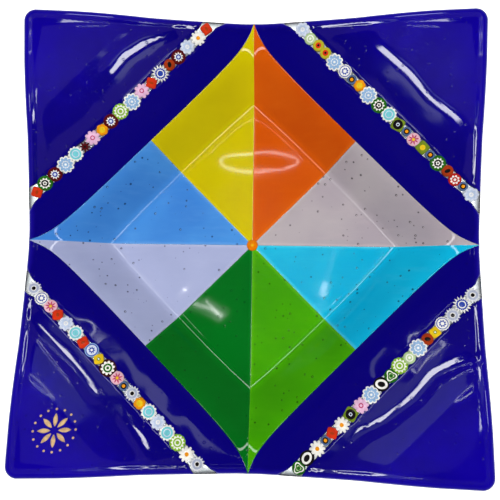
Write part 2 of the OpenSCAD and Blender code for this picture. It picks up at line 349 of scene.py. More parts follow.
    def lumps(self, u: np.ndarray, v: np.ndarray) -> np.ndarray:
        """Unevenness of the fused surface, strongest along the rows of murrine.

        Args:
            u: Blank coordinates to the right.
            v: Blank coordinates away from the viewer.

        Returns:
            How far the surface stands out at each point.
        """
        p = (np.abs(u) + np.abs(v)) / ROOT2
        past_row = p - self.channel_at - self.channel_w / 2
        fine = self.row_lump * np.exp(-((past_row / self.row_lump_w) ** 2))
        broad = self.broad_lump + self.wing_lump * smooth_step(past_row / self.wing_fade)
        uneven = fine * sampled_noise(u, v, *FINE_NOISE) + broad * sampled_noise(u, v, *BROAD_NOISE)
        uneven += self.wide_lump * sampled_noise(u, v, *WIDE_NOISE)
        return uneven + sum(crease.rise(u, v) for crease in self.creases)

    def carried(self, blank: np.ndarray) -> np.ndarray:
        """Takes points of the blank to the finished bowl.

        Args:
            blank: Rows of u, v and h.

        Returns:
            Rows of x, y and z.
        """
        u, v, h = blank.T
        lift = self.lumps(u, v) * np.clip((h - self.base) / (self.thick - self.base), 0, 1)
        height = self.polished(u, v, h) + lift
        u, v = (side * (1 - self.shy / self.half) for side in self.cornered(u, v))
        return self.underside(u, v) + height[:, None] * self.normals(u, v)


# ------------------------------------------------------------------------------------- flat glasswork


@dataclass(frozen=True)
class Cut:
    """Straight line across a flat plate, at right angles to a direction.

    Args:
        u: The direction's part to the right.
        v: Its part away from the viewer.
        at: How far along the direction the line lies.
    """

    u: float
    v: float
    at: float


FINE_ROUND = 0.5 * MM  # a rounding below this is two faces wide, and a larger one five


@dataclass
class Plate:
    """Piece of flat glass cut to an outline, before it is fused.

    Args:
        outline: Corners on the blank, anticlockwise, in the first quarter.
        low: Height of the underside.
        high: Height of the top.
        rounding: Radius of the top edge along each side, from its corner to the next; 0 keeps it sharp.
        cuts: Lines along which the plate is diced.
    """

    outline: Sequence[tuple[float, float]]
    low: float
    high: float
    rounding: Sequence[float]
    cuts: Sequence[Cut]

    def solid(self) -> bmesh.types.BMesh:
        """Extrudes the outline, rounds its top edges and dices it.

        Returns:
            The plate.
        """
        bm = bmesh.new()
        face = bm.faces.new([bm.verts.new((u, v, self.low)) for u, v in self.outline])
        lifted = bmesh.ops.extrude_face_region(bm, geom=[face])["geom"]
        verts = [g for g in lifted if isinstance(g, bmesh.types.BMVert)]
        bmesh.ops.translate(bm, verts=verts, vec=(0, 0, self.high - self.low))
        bmesh.ops.recalc_face_normals(bm, faces=bm.faces[:])
        for radius in sorted(set(self.rounding) - {0}, reverse=True):
            self.round_edges(bm, radius)
        for cut in self.cuts:
            side = Vector((cut.u, cut.v, 0))
            bmesh.ops.bisect_plane(bm, geom=bm.verts[:] + bm.edges[:] + bm.faces[:], dist=TOUCHING,
                                   plane_co=side * cut.at, plane_no=side)
        return bm

    def round_edges(self, bm: bmesh.types.BMesh, radius: float) -> None:
        """Rounds the top edges whose sides ask for that radius.

        Args:
            bm: The plate.
            radius: Radius of the rounding.
        """
        edges = [e for i, r in enumerate(self.rounding) if r == radius
                 for e in bm.edges if all(self.on_side(vert.co, i) for vert in e.verts)]
        bmesh.ops.bevel(bm, geom=edges, offset=radius, offset_type="OFFSET", profile=0.5,
                        segments=2 if radius < FINE_ROUND else 5, affect="EDGES", material=-1,
                        clamp_overlap=True)

    def on_side(self, point: Vector, side: int) -> bool:
        """Tells whether a point lies on the top edge of a side.

        Args:
            point: The point.
            side: Number of the side.

        Returns:
            True where it does.
        """
        a = Vector(self.outline[side])
        b = Vector(self.outline[(side + 1) % len(self.outline)])
        away = (b - a).normalized().cross(point.xy - a)
        return abs(away) < TOUCHING and abs(point.z - self.high) < TOUCHING


def spread(start: float, end: float, step: float) -> list[float]:
    """Even distances from start to end, about a step apart and without the end itself."""
    count = max(1, round((end - start) / step))
    return [start + (end - start) * i / count for i in range(count)]


# ---------------------------------------------------------------------------------------- node graphs


class Graph:
    """Node tree that is being written."""

    def __init__(self, tree: bpy.types.NodeTree) -> None:
        """Clears the tree.

        Args:
            tree: The tree to write in.
        """
        self.tree = tree
        tree.nodes.clear()

    def add(self, kind: str, inputs: Optional[dict[Union[str, int], Socket]] = None,
            **settings: object) -> bpy.types.Node:
        """Adds a node.

        Args:
            kind: Node type, without its ShaderNode prefix.
            inputs: Socket to link or value to set, by input name or number.
            settings: Properties of the node.

        Returns:
            The node.
        """
        node = self.tree.nodes.new(kind if kind.startswith("Node") else "ShaderNode" + kind)
        for name, value in settings.items():
            setattr(node, name, value)
        for name, value in (inputs or {}).items():
            if isinstance(value, bpy.types.NodeSocket):
                self.tree.links.new(value, node.inputs[name])
            else:
                node.inputs[name].default_value = value
        return node

    def math(self, operation: str, first: Socket, second: Socket = 0.0) -> bpy.types.NodeSocket:
        """Adds a Math node and returns its value."""
        return self.add("Math", {0: first, 1: second}, operation=operation).outputs[0]

    def ramp(self, value: Socket, low: float, high: float, start: float = 0.0,
             end: float = 1.0) -> bpy.types.NodeSocket:
        """Maps low..high of a value to start..end with soft ends.

        Args:
            value: Socket or number to map.
            low: Value that becomes start.
            high: Value that becomes end.
            start: Result at low.
            end: Result at high.

        Returns:
            The mapped value.
        """
        inputs = {"Value": value, "From Min": low, "From Max": high, "To Min": start, "To Max": end}
        node = self.add("MapRange", inputs, interpolation_type="SMOOTHSTEP")
        return node.outputs["Result"]

    def mix(self, share: Socket, first: Socket, second: Socket,
            blend: str = "MIX") -> bpy.types.NodeSocket:
        """Mixes two colours.

        Args:
            share: How much of the second colour shows.
            first: Colour underneath.
            second: Colour laid over it.
            blend: Blend type.

        Returns:
            The mixed colour.
        """
        node = self.add("Mix", data_type="RGBA", blend_type=blend)
        # By number, because the node repeats its sockets' names for each kind of value
        pairs = ((node.inputs[0], share), (node.inputs[6], first), (node.inputs[7], second))
        for socket, value in pairs:
            if isinstance(value, bpy.types.NodeSocket):
                self.tree.links.new(value, socket)
            else:
                socket.default_value = value
        return node.outputs[2]

    def noise(self, vector: Socket, scale: Socket, detail: float = 2.0,
              roughness: float = 0.5) -> bpy.types.NodeSocket:
        """Adds a Noise texture and returns its value."""
        inputs = {"Vector": vector, "Scale": scale, "Detail": detail, "Roughness": roughness}
        return self.add("TexNoise", inputs).outputs[0]


def rgba(colour: Colour) -> tuple[float, float, float, float]:
    """Adds full opacity to a colour."""
    return (*colour, 1.0)


class SocketKind(Enum):
    """Kinds of socket on a node group."""

    NUMBER = "NodeSocketFloat"
    COLOUR = "NodeSocketColor"
    VECTOR = "NodeSocketVector"


@dataclass(frozen=True)
class Effect:
    """Shared surface effect, built once as a node group.

    Args:
        name: Name of the group.
        inputs: Kind and starting value of each input.
        outputs: Kind of each output.
        write: Function that writes the group's nodes and returns what each output shows.
    """

    name: str
    inputs: dict[str, tuple[SocketKind, object]]
    outputs: dict[str, SocketKind]
    write: Callable[[Graph, bpy.types.NodeOutputs], dict[str, Socket]]

    def tree(self) -> bpy.types.NodeTree:
        """Finds the group, or builds it the first time.

        Returns:
            The group.
        """
        found = bpy.data.node_groups.get(self.name)
        if found:
            return found
        tree = bpy.data.node_groups.new(self.name, "ShaderNodeTree")
        for name, (kind, start) in self.inputs.items():
            socket = tree.interface.new_socket(name, in_out="INPUT", socket_type=kind.value)
            if start is not None:
                socket.default_value = start
        for name, kind in self.outputs.items():
            tree.interface.new_socket(name, in_out="OUTPUT", socket_type=kind.value)
        graph = Graph(tree)
        source = graph.add("NodeGroupInput")
        graph.add("NodeGroupOutput", self.write(graph, source.outputs))
        return tree

    def place(self, graph: Graph, **values: Socket) -> bpy.types.NodeOutputs:
        """Places the group in a material.

        Args:
            graph: The material's graph.
            values: Sockets or numbers for the inputs, named with underscores for spaces.

        Returns:
            The group's outputs.
        """
        inputs = {name.replace("_", " "): value for name, value in values.items()}
        return graph.add("Group", inputs, node_tree=self.tree()).outputs


def write_mottling(g: Graph, io: bpy.types.NodeOutputs) -> dict[str, Socket]:
    """Uneven depth of colour in fused sheet glass: broad clouds, and wisps drawn out one way.

    Args:
        g: The group's graph.
        io: The group's inputs.

    Returns:
        What each output shows.
    """
    clouds = g.ramp(g.noise(io["Vector"], io["Scale"], 3.0), 0.3, 0.72)
    drawn = g.add("Mapping", {"Vector": io["Vector"], "Rotation": (0.0, 0.0, 0.6),
                              "Scale": (1.0, 5.0, 1.0)}).outputs[0]
    wisps = g.ramp(g.noise(drawn, g.math("MULTIPLY", io["Scale"], 2.5), 4.0, 0.6), 0.45, 0.8)
    share = g.math("MULTIPLY", clouds, io["Amount"])
    streak = g.math("MULTIPLY", wisps, io["Wisps"])
    clouded = g.mix(share, io["Colour"], io["Deep Colour"])
    return {"Colour": g.mix(streak, clouded, io["Wisp Colour"])}


# Offset and size of the painted glint, a highlight painted on each seed bubble
PAINTED_GLINT_OFFSET, PAINTED_GLINT_SHARE = (-0.16 * MM, 0.1 * MM, 0.0), 0.42


def write_seeds(g: Graph, io: bpy.types.NodeOutputs) -> dict[str, Socket]:
    """Seed bubbles: small dark specks of different sizes, each with a painted highlight (a glint) on one
    side.

    Args:
        g: The group's graph.
        io: The group's inputs.

    Returns:
        What each output shows.
    """

    def specks(offset: Sequence[float], shrink: float) -> bpy.types.NodeSocket:
        """Masks the bubbles.

        Args:
            offset: How far they are moved.
            shrink: Share of their size that is kept.

        Returns:
            The mask.
        """
        moved = g.add("VectorMath", {0: io["Vector"], 1: offset}, operation="ADD").outputs[0]
        cells = g.add("TexVoronoi", {"Vector": moved, "Scale": io["Scale"], "Randomness": 1.0})
        chance = g.add("SeparateColor", {"Color": cells.outputs["Color"]}).outputs[0]
        size = g.math("MULTIPLY", io["Size"], g.ramp(chance, 0.1, 1.0, 0.25, 1.0))
        reach = g.math("MULTIPLY", g.math("MULTIPLY", size, io["Scale"]), shrink)
        near = g.math("DIVIDE", cells.outputs["Distance"], reach)
        return g.ramp(near, 1.0, 0.55)

    body = specks((0.0, 0.0, 0.0), 1.0)
    # The glint is painted light: a smaller offset speck standing in for light caught on the bubble
    glint = specks(PAINTED_GLINT_OFFSET, PAINTED_GLINT_SHARE)
    return {"Body": g.math("SUBTRACT", body, glint), "Painted Glint": g.math("MULTIPLY", body, glint),
            "Dent": g.math("MULTIPLY", body, -1.0)}


PEEL_SCALE, SMEAR_SCALE, RUB_SCALE = 900.0, 38.0, 240.0


def write_polish(g: Graph, io: bpy.types.NodeOutputs) -> dict[str, Socket]:
    """Fire-polished skin: slow ripples, faint orange peel, and the smears and rubs of handling.

    Args:
        g: The group's graph.
        io: The group's inputs.

    Returns:
        What each output shows.
    """
    ripple = g.noise(io["Vector"], io["Ripple Scale"], 1.0)
    peel = g.noise(io["Vector"], PEEL_SCALE, 2.0)
    height = g.math("ADD", ripple, g.math("MULTIPLY", peel, io["Peel"]))
    smear = g.ramp(g.noise(io["Vector"], SMEAR_SCALE, 3.0, 0.6), 0.42, 0.75)
    drawn = g.add("Mapping", {"Vector": io["Vector"], "Rotation": (0.0, 0.0, 0.9),
                              "Scale": (1.0, 14.0, 1.0)}).outputs[0]
    rubs = g.ramp(g.noise(drawn, RUB_SCALE, 3.0, 0.7), 0.62, 0.8)
    worn = g.math("ADD", g.math("MULTIPLY", smear, io["Smears"]), g.math("MULTIPLY", rubs, io["Rubs"]))
    return {"Height": height, "Roughness": g.math("ADD", io["Roughness"], worn)}


def write_edge_tone(g: Graph, io: bpy.types.NodeOutputs) -> dict[str, Socket]:
    """Tone that a piece takes near one of its edges, with an uneven limit: the tiles' lighter seams, and
    on the cobalt its painted shade and painted lighter rim.

    Args:
        g: The group's graph.
        io: The group's inputs.

    Returns:
        What each output shows.
    """
    wander = g.ramp(g.noise(io["Vector"], 120.0, 2.0), 0.0, 1.0, 0.6, 1.4)
    share = g.ramp(g.math("DIVIDE", io["Distance"], g.math("MULTIPLY", io["Width"], wander)), 1.0, 0.0)
    share = g.math("MULTIPLY", share, io["Amount"])
    return {"Colour": g.mix(share, io["Colour"], io["Edge Colour"]), "Mask": share}


NUMBER, COLOUR, VECTOR = SocketKind.NUMBER, SocketKind.COLOUR, SocketKind.VECTOR
MOTTLING = Effect("Melt Mottling", {
    "Vector": (VECTOR, None), "Colour": (COLOUR, (0.5, 0.5, 0.5, 1)),
    "Deep Colour": (COLOUR, (0.3, 0.3, 0.3, 1)), "Wisp Colour": (COLOUR, (0.8, 0.8, 0.8, 1)),
    "Scale": (NUMBER, 22.0), "Amount": (NUMBER, 0.5), "Wisps": (NUMBER, 0.1),
}, {"Colour": COLOUR}, write_mottling)
SEEDS = Effect("Seed Bubbles", {
    "Vector": (VECTOR, None), "Scale": (NUMBER, 250.0), "Size": (NUMBER, 0.00095),
}, {"Body": NUMBER, "Painted Glint": NUMBER, "Dent": NUMBER}, write_seeds)
POLISH = Effect("Fire Polish", {
    "Vector": (VECTOR, None), "Ripple Scale": (NUMBER, 45.0), "Peel": (NUMBER, 0.01),
    "Roughness": (NUMBER, 0.04), "Smears": (NUMBER, 0.03), "Rubs": (NUMBER, 0.08),
}, {"Height": NUMBER, "Roughness": NUMBER}, write_polish)
EDGE_TONE = Effect("Edge Tone", {
    "Vector": (VECTOR, None), "Colour": (COLOUR, (0.5, 0.5, 0.5, 1)),
    "Edge Colour": (COLOUR, (0.8, 0.8, 0.8, 1)), "Distance": (NUMBER, 1.0),
    "Width": (NUMBER, 0.002), "Amount": (NUMBER, 0.3),
}, {"Colour": COLOUR, "Mask": NUMBER}, write_edge_tone)


# ------------------------------------------------------------------------------------------- finishes


def new_material(name: str) -> tuple[bpy.types.Material, Graph, bpy.types.NodeSocket]:
    """Starts a material on Object coordinates.

    Args:
        name: The material's name.

    Returns:
        The material, its graph, and the socket of its Object coordinates.
    """
    material = bpy.data.materials.new(name)
    material.use_nodes = True
    graph = Graph(material.node_tree)
    return material, graph, graph.add("TexCoord").outputs["Object"]


def read_attribute(graph: Graph, name: str) -> bpy.types.Node:
    """Adds a node that reads one of the mesh's own attributes."""
    return graph.add("Attribute", attribute_name=name)


@dataclass(frozen=True)
class SheetGlass:
    """Opaque fused sheet glass.

    Args:
        name: The colour in a glassmaker's words.
        colour: Its usual colour.
        deep: Its colour where it lies thicker.
        pale: Its lighter tone along a seam, and the colour of its wisps and of the painted glints on its
            seed bubbles. The cobalt's is darker: painted shade over the bands, fading across the wings.
        seeds: How dark its seed bubbles are; 0 leaves them out.
        wisps: How much it is streaked with the pale colour.
        rim: Painted lighter colour at the rim, standing in for light through the thin edge, or None for no
            change.
        ripple: Height of the surface's ripples.
        seam_tone_and_painted_shade_w: How far that tone reaches from a seam; on the cobalt, how far its
            painted shade reaches past the row of murrine.
        seam_tone_and_painted_shade_share: How much of it shows there.
        painted_rim_w: How far the painted lighter rim reaches.
        seed_shade: Brightness of a seed bubble, as a share of the deep colour's.
    """

    name: str
    colour: Colour
    deep: Colour
    pale: Colour
    seeds: float = 0.85
    wisps: float = 0.12
    rim: Optional[Colour] = None
    ripple: float = 0.06 * MM
    seam_tone_and_painted_shade_w: float = 2.4 * MM
    seam_tone_and_painted_shade_share: float = 0.45
    painted_rim_w: float = 4.5 * MM
    seed_shade: float = 0.12

    def material(self) -> bpy.types.Material:
        """Builds the finish as a material.

        Returns:
            The material.
        """
        material, g, place = new_material(self.name)
        mottled = MOTTLING.place(g, Vector=place, Colour=rgba(self.colour), Deep_Colour=rgba(self.deep),
                                 Wisp_Colour=rgba(self.pale), Wisps=self.wisps, Amount=0.7)
        seam = read_attribute(g, "seam").outputs["Fac"]
        # Lighter tone along the seams; on the cobalt this is painted shade, full over the bands and fading
        # across the wings, so the wings grow lighter towards the corners
        toned = EDGE_TONE.place(g, Vector=place, Colour=mottled["Colour"], Edge_Colour=rgba(self.pale),
                                Distance=seam, Width=self.seam_tone_and_painted_shade_w, Amount=self.seam_tone_and_painted_shade_share)["Colour"]
        # Painted lighter rim: a lighter colour along the edge that stands in for light passing through the
        # thin glass
        if self.rim:
            edge = read_attribute(g, "rim").outputs["Fac"]
            toned = EDGE_TONE.place(g, Vector=place, Colour=toned, Edge_Colour=rgba(self.rim),
                                    Distance=edge, Width=self.painted_rim_w, Amount=0.8)["Colour"]
        polish = POLISH.place(g, Vector=place)
        bumped = g.add("Bump", {"Height": polish["Height"], "Strength": 1.0,
                                "Distance": self.ripple}).outputs[0]
        if self.seeds:
            seeds = SEEDS.place(g, Vector=place)
            dark = tuple(self.seed_shade * part for part in self.deep)
            toned = g.mix(g.math("MULTIPLY", seeds["Body"], self.seeds), toned, rgba(dark))
            # Painted glint: a highlight painted beside each seed bubble, in the pale colour
            toned = g.mix(g.math("MULTIPLY", seeds["Painted Glint"], 0.8), toned, rgba(self.pale))
            bumped = g.add("Bump", {"Height": seeds["Dent"], "Strength": 0.5, "Distance": 0.1 * MM,
                                    "Normal": bumped}).outputs[0]
        shader = g.add("BsdfPrincipled", {"Base Color": toned, "Roughness": polish["Roughness"],
                                          "Normal": bumped, "IOR": GLASS_IOR})
        g.add("OutputMaterial", {"Surface": shader.outputs[0]})
        return material


@dataclass(frozen=True)
class CaneGlass:
    """Patterned cane under a fused skin. Its colours are the slices' own, kept in their mesh.

    Args:
        name: The cane's name.
        skin: Share of their light that the skin lets through.
        depth: Share of that which is left where the glass is cloudy.
    """

    name: str
    skin: Colour = (0.7, 0.7, 0.7)
    depth: Colour = (0.72, 0.72, 0.74)

    def material(self) -> bpy.types.Material:
        """Builds the finish as a material.

        Returns:
            The material.
        """
        material, g, place = new_material(self.name)
        painted = read_attribute(g, "cane").outputs["Color"]
        tint = g.mix(1.0, painted, rgba(self.skin), "MULTIPLY")
        darker = g.mix(1.0, tint, rgba(self.depth), "MULTIPLY")
        mottled = MOTTLING.place(g, Vector=place, Colour=tint, Deep_Colour=darker, Scale=420.0,
                                 Wisp_Colour=darker, Wisps=0.25, Amount=0.8)
        polish = POLISH.place(g, Vector=place, Ripple_Scale=320.0, Roughness=0.05)
        bumped = g.add("Bump", {"Height": polish["Height"], "Strength": 0.6,
                                "Distance": 0.12 * MM}).outputs[0]
        shader = g.add("BsdfPrincipled", {"Base Color": mottled["Colour"], "Normal": bumped,
                                          "Roughness": polish["Roughness"], "IOR": GLASS_IOR})
        g.add("OutputMaterial", {"Surface": shader.outputs[0]})
        return material


@dataclass(frozen=True)
class ClearGlass:
    """Clear base glass that lets light through to what it stands on, tinted a faint blue and darkened grey
    as painted shade for the shade under the bowl.

    Args:
        name: The glass's name.
        tint: Its colour: a faint blue of its own, darkened grey as painted shade.
        depth: Brightness of its cloudy places, as a share of the rest.
        bubble: Colour of its few seed bubbles.
    """

    name: str
    # Painted shade: the tint is darker than the glass itself, standing in for the shade under the bowl;
    # shadow rays take it too
    tint: Colour = (0.60, 0.64, 0.66)
    depth: float = 0.93
    bubble: Colour = (0.6, 0.65, 0.65)

    def material(self) -> bpy.types.Material:
        """Builds the finish as a material.

        Returns:
            The material.
        """
        material, g, place = new_material(self.name)
        deeper = tuple(self.depth * part for part in self.tint)
        mottled = MOTTLING.place(g, Vector=place, Colour=rgba(self.tint), Deep_Colour=rgba(deeper),
                                 Wisp_Colour=(1.0, 1.0, 1.0, 1.0), Wisps=0.1, Scale=60.0)
        seeds = SEEDS.place(g, Vector=place, Scale=260.0, Size=0.0004)
        toned = g.mix(g.math("MULTIPLY", seeds["Body"], 0.3), mottled["Colour"], rgba(self.bubble))
        polish = POLISH.place(g, Vector=place, Ripple_Scale=90.0, Roughness=0.03, Smears=0.04)
        bumped = g.add("Bump", {"Height": polish["Height"], "Strength": 1.0,
                                "Distance": 0.08 * MM}).outputs[0]
        glass = g.add("BsdfPrincipled", {"Base Color": toned, "Roughness": polish["Roughness"],
                                         "Normal": bumped, "IOR": GLASS_IOR,
                                         "Transmission Weight": 1.0})
        clear = g.add("BsdfTransparent", {"Color": rgba(self.tint)})
        shadow = g.add("LightPath").outputs["Is Shadow Ray"]
        mixed = g.add("MixShader", {0: shadow, 1: glass.outputs[0], 2: clear.outputs[0]})
        g.add("OutputMaterial", {"Surface": mixed.outputs[0]})
        return material


@dataclass(frozen=True)
class Gilding:
    """Thin fired gold, rubbed through in places.

    Args:
        name: The finish's name.
        gold: Colour of the gold.
        rubbed: Colour where it is rubbed through.
    """

    name: str
    gold: Colour = srgb(196, 164, 116)
    rubbed: Colour = srgb(112, 84, 76)

    def material(self) -> bpy.types.Material:
        """Builds the finish as a material.

        Returns:
            The material.
        """
        material, g, place = new_material(self.name)
        mottled = MOTTLING.place(g, Vector=place, Colour=rgba(self.gold), Deep_Colour=rgba(self.rubbed),
                                 Wisp_Colour=rgba(self.rubbed), Scale=500.0, Wisps=0.3, Amount=0.5)
        polish = POLISH.place(g, Vector=place, Ripple_Scale=900.0, Roughness=0.42, Smears=0.2)
        bumped = g.add("Bump", {"Height": polish["Height"], "Strength": 0.5,
                                "Distance": 0.05 * MM}).outputs[0]
        shader = g.add("BsdfPrincipled", {"Base Color": mottled["Colour"], "Metallic": 0.3,
                                          "Roughness": polish["Roughness"], "Normal": bumped})
        g.add("OutputMaterial", {"Surface": shader.outputs[0]})
        return material


# --------------------------------------------------------------------------------------- build helpers


@dataclass
class Kiln:
    """Turns flat glasswork into finished pieces that stand for the frame's nodes.

    Args:
        slump: How the glass sinks into the mould.
    """

    slump: Slump

    def fired(self, name: str, flat: bpy.types.Mesh, turns: int = 0,
              seam: Optional[Callable[[np.ndarray], np.ndarray]] = None,
              flow: Optional[Callable[[np.ndarray, int], np.ndarray]] = None) -> bpy.types.Object:
        """Carries a flat mesh to the bowl and names it as a piece.

        Args:
            name: Name of the piece.
            flat: Flat mesh over the first quarter; it is copied.
            turns: Quarter turns from the first quarter.
            seam: Distance that sets the edge tone, for rows of flat points before they are turned: to the
                nearest seam on a tile, and past the row of murrine on the cobalt, where it places the
                painted shade.
            flow: How the softened glass creeps sideways, from the flat points and the turns.

        Returns:
            The piece.
        """
        mesh = flat.copy()
        mesh.name = name
        count = len(mesh.vertices)
        co = np.zeros(count * 3)
        mesh.vertices.foreach_get("co", co)
        blank = co.reshape(-1, 3)
        if flow:
            blank = flow(blank, turns)
        rim = self.slump.rim_distance(blank[:, 0], blank[:, 1])
        gaps = {"rim": rim, "seam": seam(blank) if seam else np.full(count, FAR)}
        for kind, distance in gaps.items():
            mesh.attributes.new(kind, "FLOAT", "POINT").data.foreach_set("value", distance)
        placed = self.slump.carried(quarter_turned(blank, turns))
        mesh.vertices.foreach_set("co", placed.astype(np.float32).ravel())
        mesh.polygons.foreach_set("use_smooth", np.ones(len(mesh.polygons), bool))
        mesh.update()
        piece = bpy.data.objects.new(name, mesh)
        bpy.context.scene.collection.objects.link(piece)
        return piece

    @staticmethod
    def hand_over(piece: bpy.types.Object, material: bpy.types.Material, slot: str, node: str) -> None:
        """Dresses a piece and has it stand for its node.

        Args:
            piece: The finished piece.
            material: Its finish.
            slot: The record's slot for its finish; not used.
            node: The frame's node that it replaces.
        """
        piece.data.materials.append(material)
        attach(piece, "root")
        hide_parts(node)
        LOG.info("%s: %d faces", piece.name, len(piece.data.polygons))


def mesh_of(bm: bmesh.types.BMesh, name: str) -> bpy.types.Mesh:
    """Keeps a bmesh as mesh data and frees it.

    Args:
        bm: The bmesh.
        name: Name of the mesh.

    Returns:
        The mesh.
    """
    mesh = bpy.data.meshes.new(name)
    bm.to_mesh(mesh)
    bm.free()
    return mesh


# ------------------------------------------------------------------------------------ sub-assemblies


# Distances of the mesh's lines from the rim, close together where it is rounded
RIM_ROWS = tuple(d * MM for d in (0.05, 0.2, 0.5, 1.0, 1.6, 2.3, 3.0, 3.8, 4.6, 5.4, 6.4))
QUARTERS = ("top_right", "top_left", "bottom_left", "bottom_right")
# Quarter of each tile, and whether it is the second one in it
TILE_PLACES = {"pearl": (0, False), "orange": (0, True), "yellow": (1, False), "sky": (1, True),
               "lilac": (2, False), "dark_green": (2, True), "lime": (3, False), "cyan": (3, True)}


@dataclass
class BaseSheet:
    """The clear sheet under everything, risen between the murrine where the channels are.

    Args:
        kiln: The kiln.
        cells: Cells of its mesh from side to side, without the rim's.
        channel_fill: Height of its top in the channels.
        fill_past: How far that height goes on under the channels' sides.
    """

    kiln: Kiln
    cells: int = 128
    channel_fill: float = 5.25 * MM
    fill_past: float = 2.4 * MM

    def lines(self) -> np.ndarray:
        """Places the mesh's lines on one axis.

        Returns:
            Their places, from end to end.
        """
        half = self.kiln.slump.half
        inner = half - RIM_ROWS[-1]
        middle = np.linspace(-inner, inner, self.cells + 1)
        low = [-half] + [-half + d for d in RIM_ROWS[:-1]]
        return np.concatenate([low, middle, [-x for x in reversed(low)]])

    def build(self, finish: ClearGlass) -> None:
        """Builds the sheet from a grid.

        Args:
            finish: Its finish.
        """
        slump = self.kiln.slump
        lines = self.lines()
        count = len(lines) - 1
        bm = bmesh.new()
        bmesh.ops.create_grid(bm, x_segments=count, y_segments=count, size=1)
        lifted = bmesh.ops.extrude_face_region(bm, geom=bm.faces[:], use_keep_orig=False)["geom"]
        top = {g for g in lifted if isinstance(g, bmesh.types.BMVert)}
        past = self.fill_past
        for vert in bm.verts:
            u, v = (lines[round((x + 1) / 2 * count)] for x in vert.co.xy)
            p = (abs(u) + abs(v)) / ROOT2
            in_channel = slump.channel_at - past < p < slump.channel_at + slump.channel_w + past
            level = self.channel_fill if in_channel else slump.base
            vert.co = (u, v, level if vert in top else 0)
        bmesh.ops.recalc_face_normals(bm, faces=bm.faces[:])
        piece = self.kiln.fired("base_sheet_glass", mesh_of(bm, "base_flat"))
        self.kiln.hand_over(piece, finish.material(), "clear_glass", "base_sheet")


@dataclass
class Tiles:
    """The eight coloured tiles, two in each quarter, from the centre to the rim.

    Args:
        kiln: The kiln.
        gap: Gap between two tiles.
        step: Distance between the mesh's lines.
        bend_step: Their distance in the bend round the floor.
        bend_share: How far that closer distance goes, as a share of the bend.
        edge_step: Distance of the lines next to a tile's edges.
        edge_round: Radius of its top edges.
    """

    kiln: Kiln
    gap: float = 0.1 * MM
    step: float = 2.2 * MM
    bend_step: float = 1.0 * MM
    bend_share: float = 1.3
    edge_step: float = 0.6 * MM
    edge_round: float = 0.14 * MM

    def cuts(self) -> list[Cut]:
        """Lines that dice both tiles of the first quarter, closer together in the floor's bend.

        Returns:
            The lines.
        """
        slump = self.kiln.slump
        past = self.bend_share * slump.bend_half
        bend = (slump.floor_reach - past, slump.floor_reach + past)
        reach = (spread(0, bend[0], self.step)[1:] + spread(*bend, self.bend_step)
                 + spread(bend[1], slump.tile_reach, self.step) + [slump.tile_reach - self.edge_step])
        side = [s * x for x in spread(0, slump.tile_reach, self.step)[1:] for s in (-1, 1)]
        return ([Cut(DIAGONAL, DIAGONAL, x) for x in reach]
                + [Cut(-DIAGONAL, DIAGONAL, x) for x in side + [-self.edge_step, self.edge_step]]
                + [Cut(1, 0, slump.half - d) for d in RIM_ROWS]
                + [Cut(0, 1, slump.half - d) for d in RIM_ROWS]
                + [Cut(1, 0, self.edge_step), Cut(0, 1, self.edge_step)])

    def flat(self, second: bool) -> bpy.types.Mesh:
        """Cuts one tile of the first quarter.

        Args:
            second: False for the tile beside the fold the quarter starts from, True for the other.

        Returns:
            Its flat mesh.
        """
        slump = self.kiln.slump
        g = self.gap / 2
        slant = g * ROOT2
        middle = slump.half / 2
        outline = [(g + slant, g), (slump.half - g - slant, g), (middle, middle - slant)]
        if second:
            outline = [(v, u) for u, v in (outline[0], outline[2], outline[1])]
        plate = Plate(outline, slump.base - slump.seat, slump.thick, [self.edge_round] * 3, self.cuts())
        return mesh_of(plate.solid(), "tile_flat")

    def seam(self, blank: np.ndarray) -> np.ndarray:
        """Distance to the nearest other tile."""
        u, v = blank[:, 0], blank[:, 1]
        return np.minimum(np.minimum(np.abs(u), np.abs(v)), np.abs(v - u) / ROOT2)

    def build(self, finishes: dict[str, SheetGlass]) -> None:
        """Builds all eight tiles.

        Args:
            finishes: Finish of each tile, by colour.
        """
        flats = {second: self.flat(second) for second in (False, True)}
        for colour, (turns, second) in TILE_PLACES.items():
            piece = self.kiln.fired(f"tile_{colour}_glass", flats[second], turns, self.seam)
            self.kiln.hand_over(piece, finishes[colour].material(), f"{colour}_glass", f"tile_{colour}")


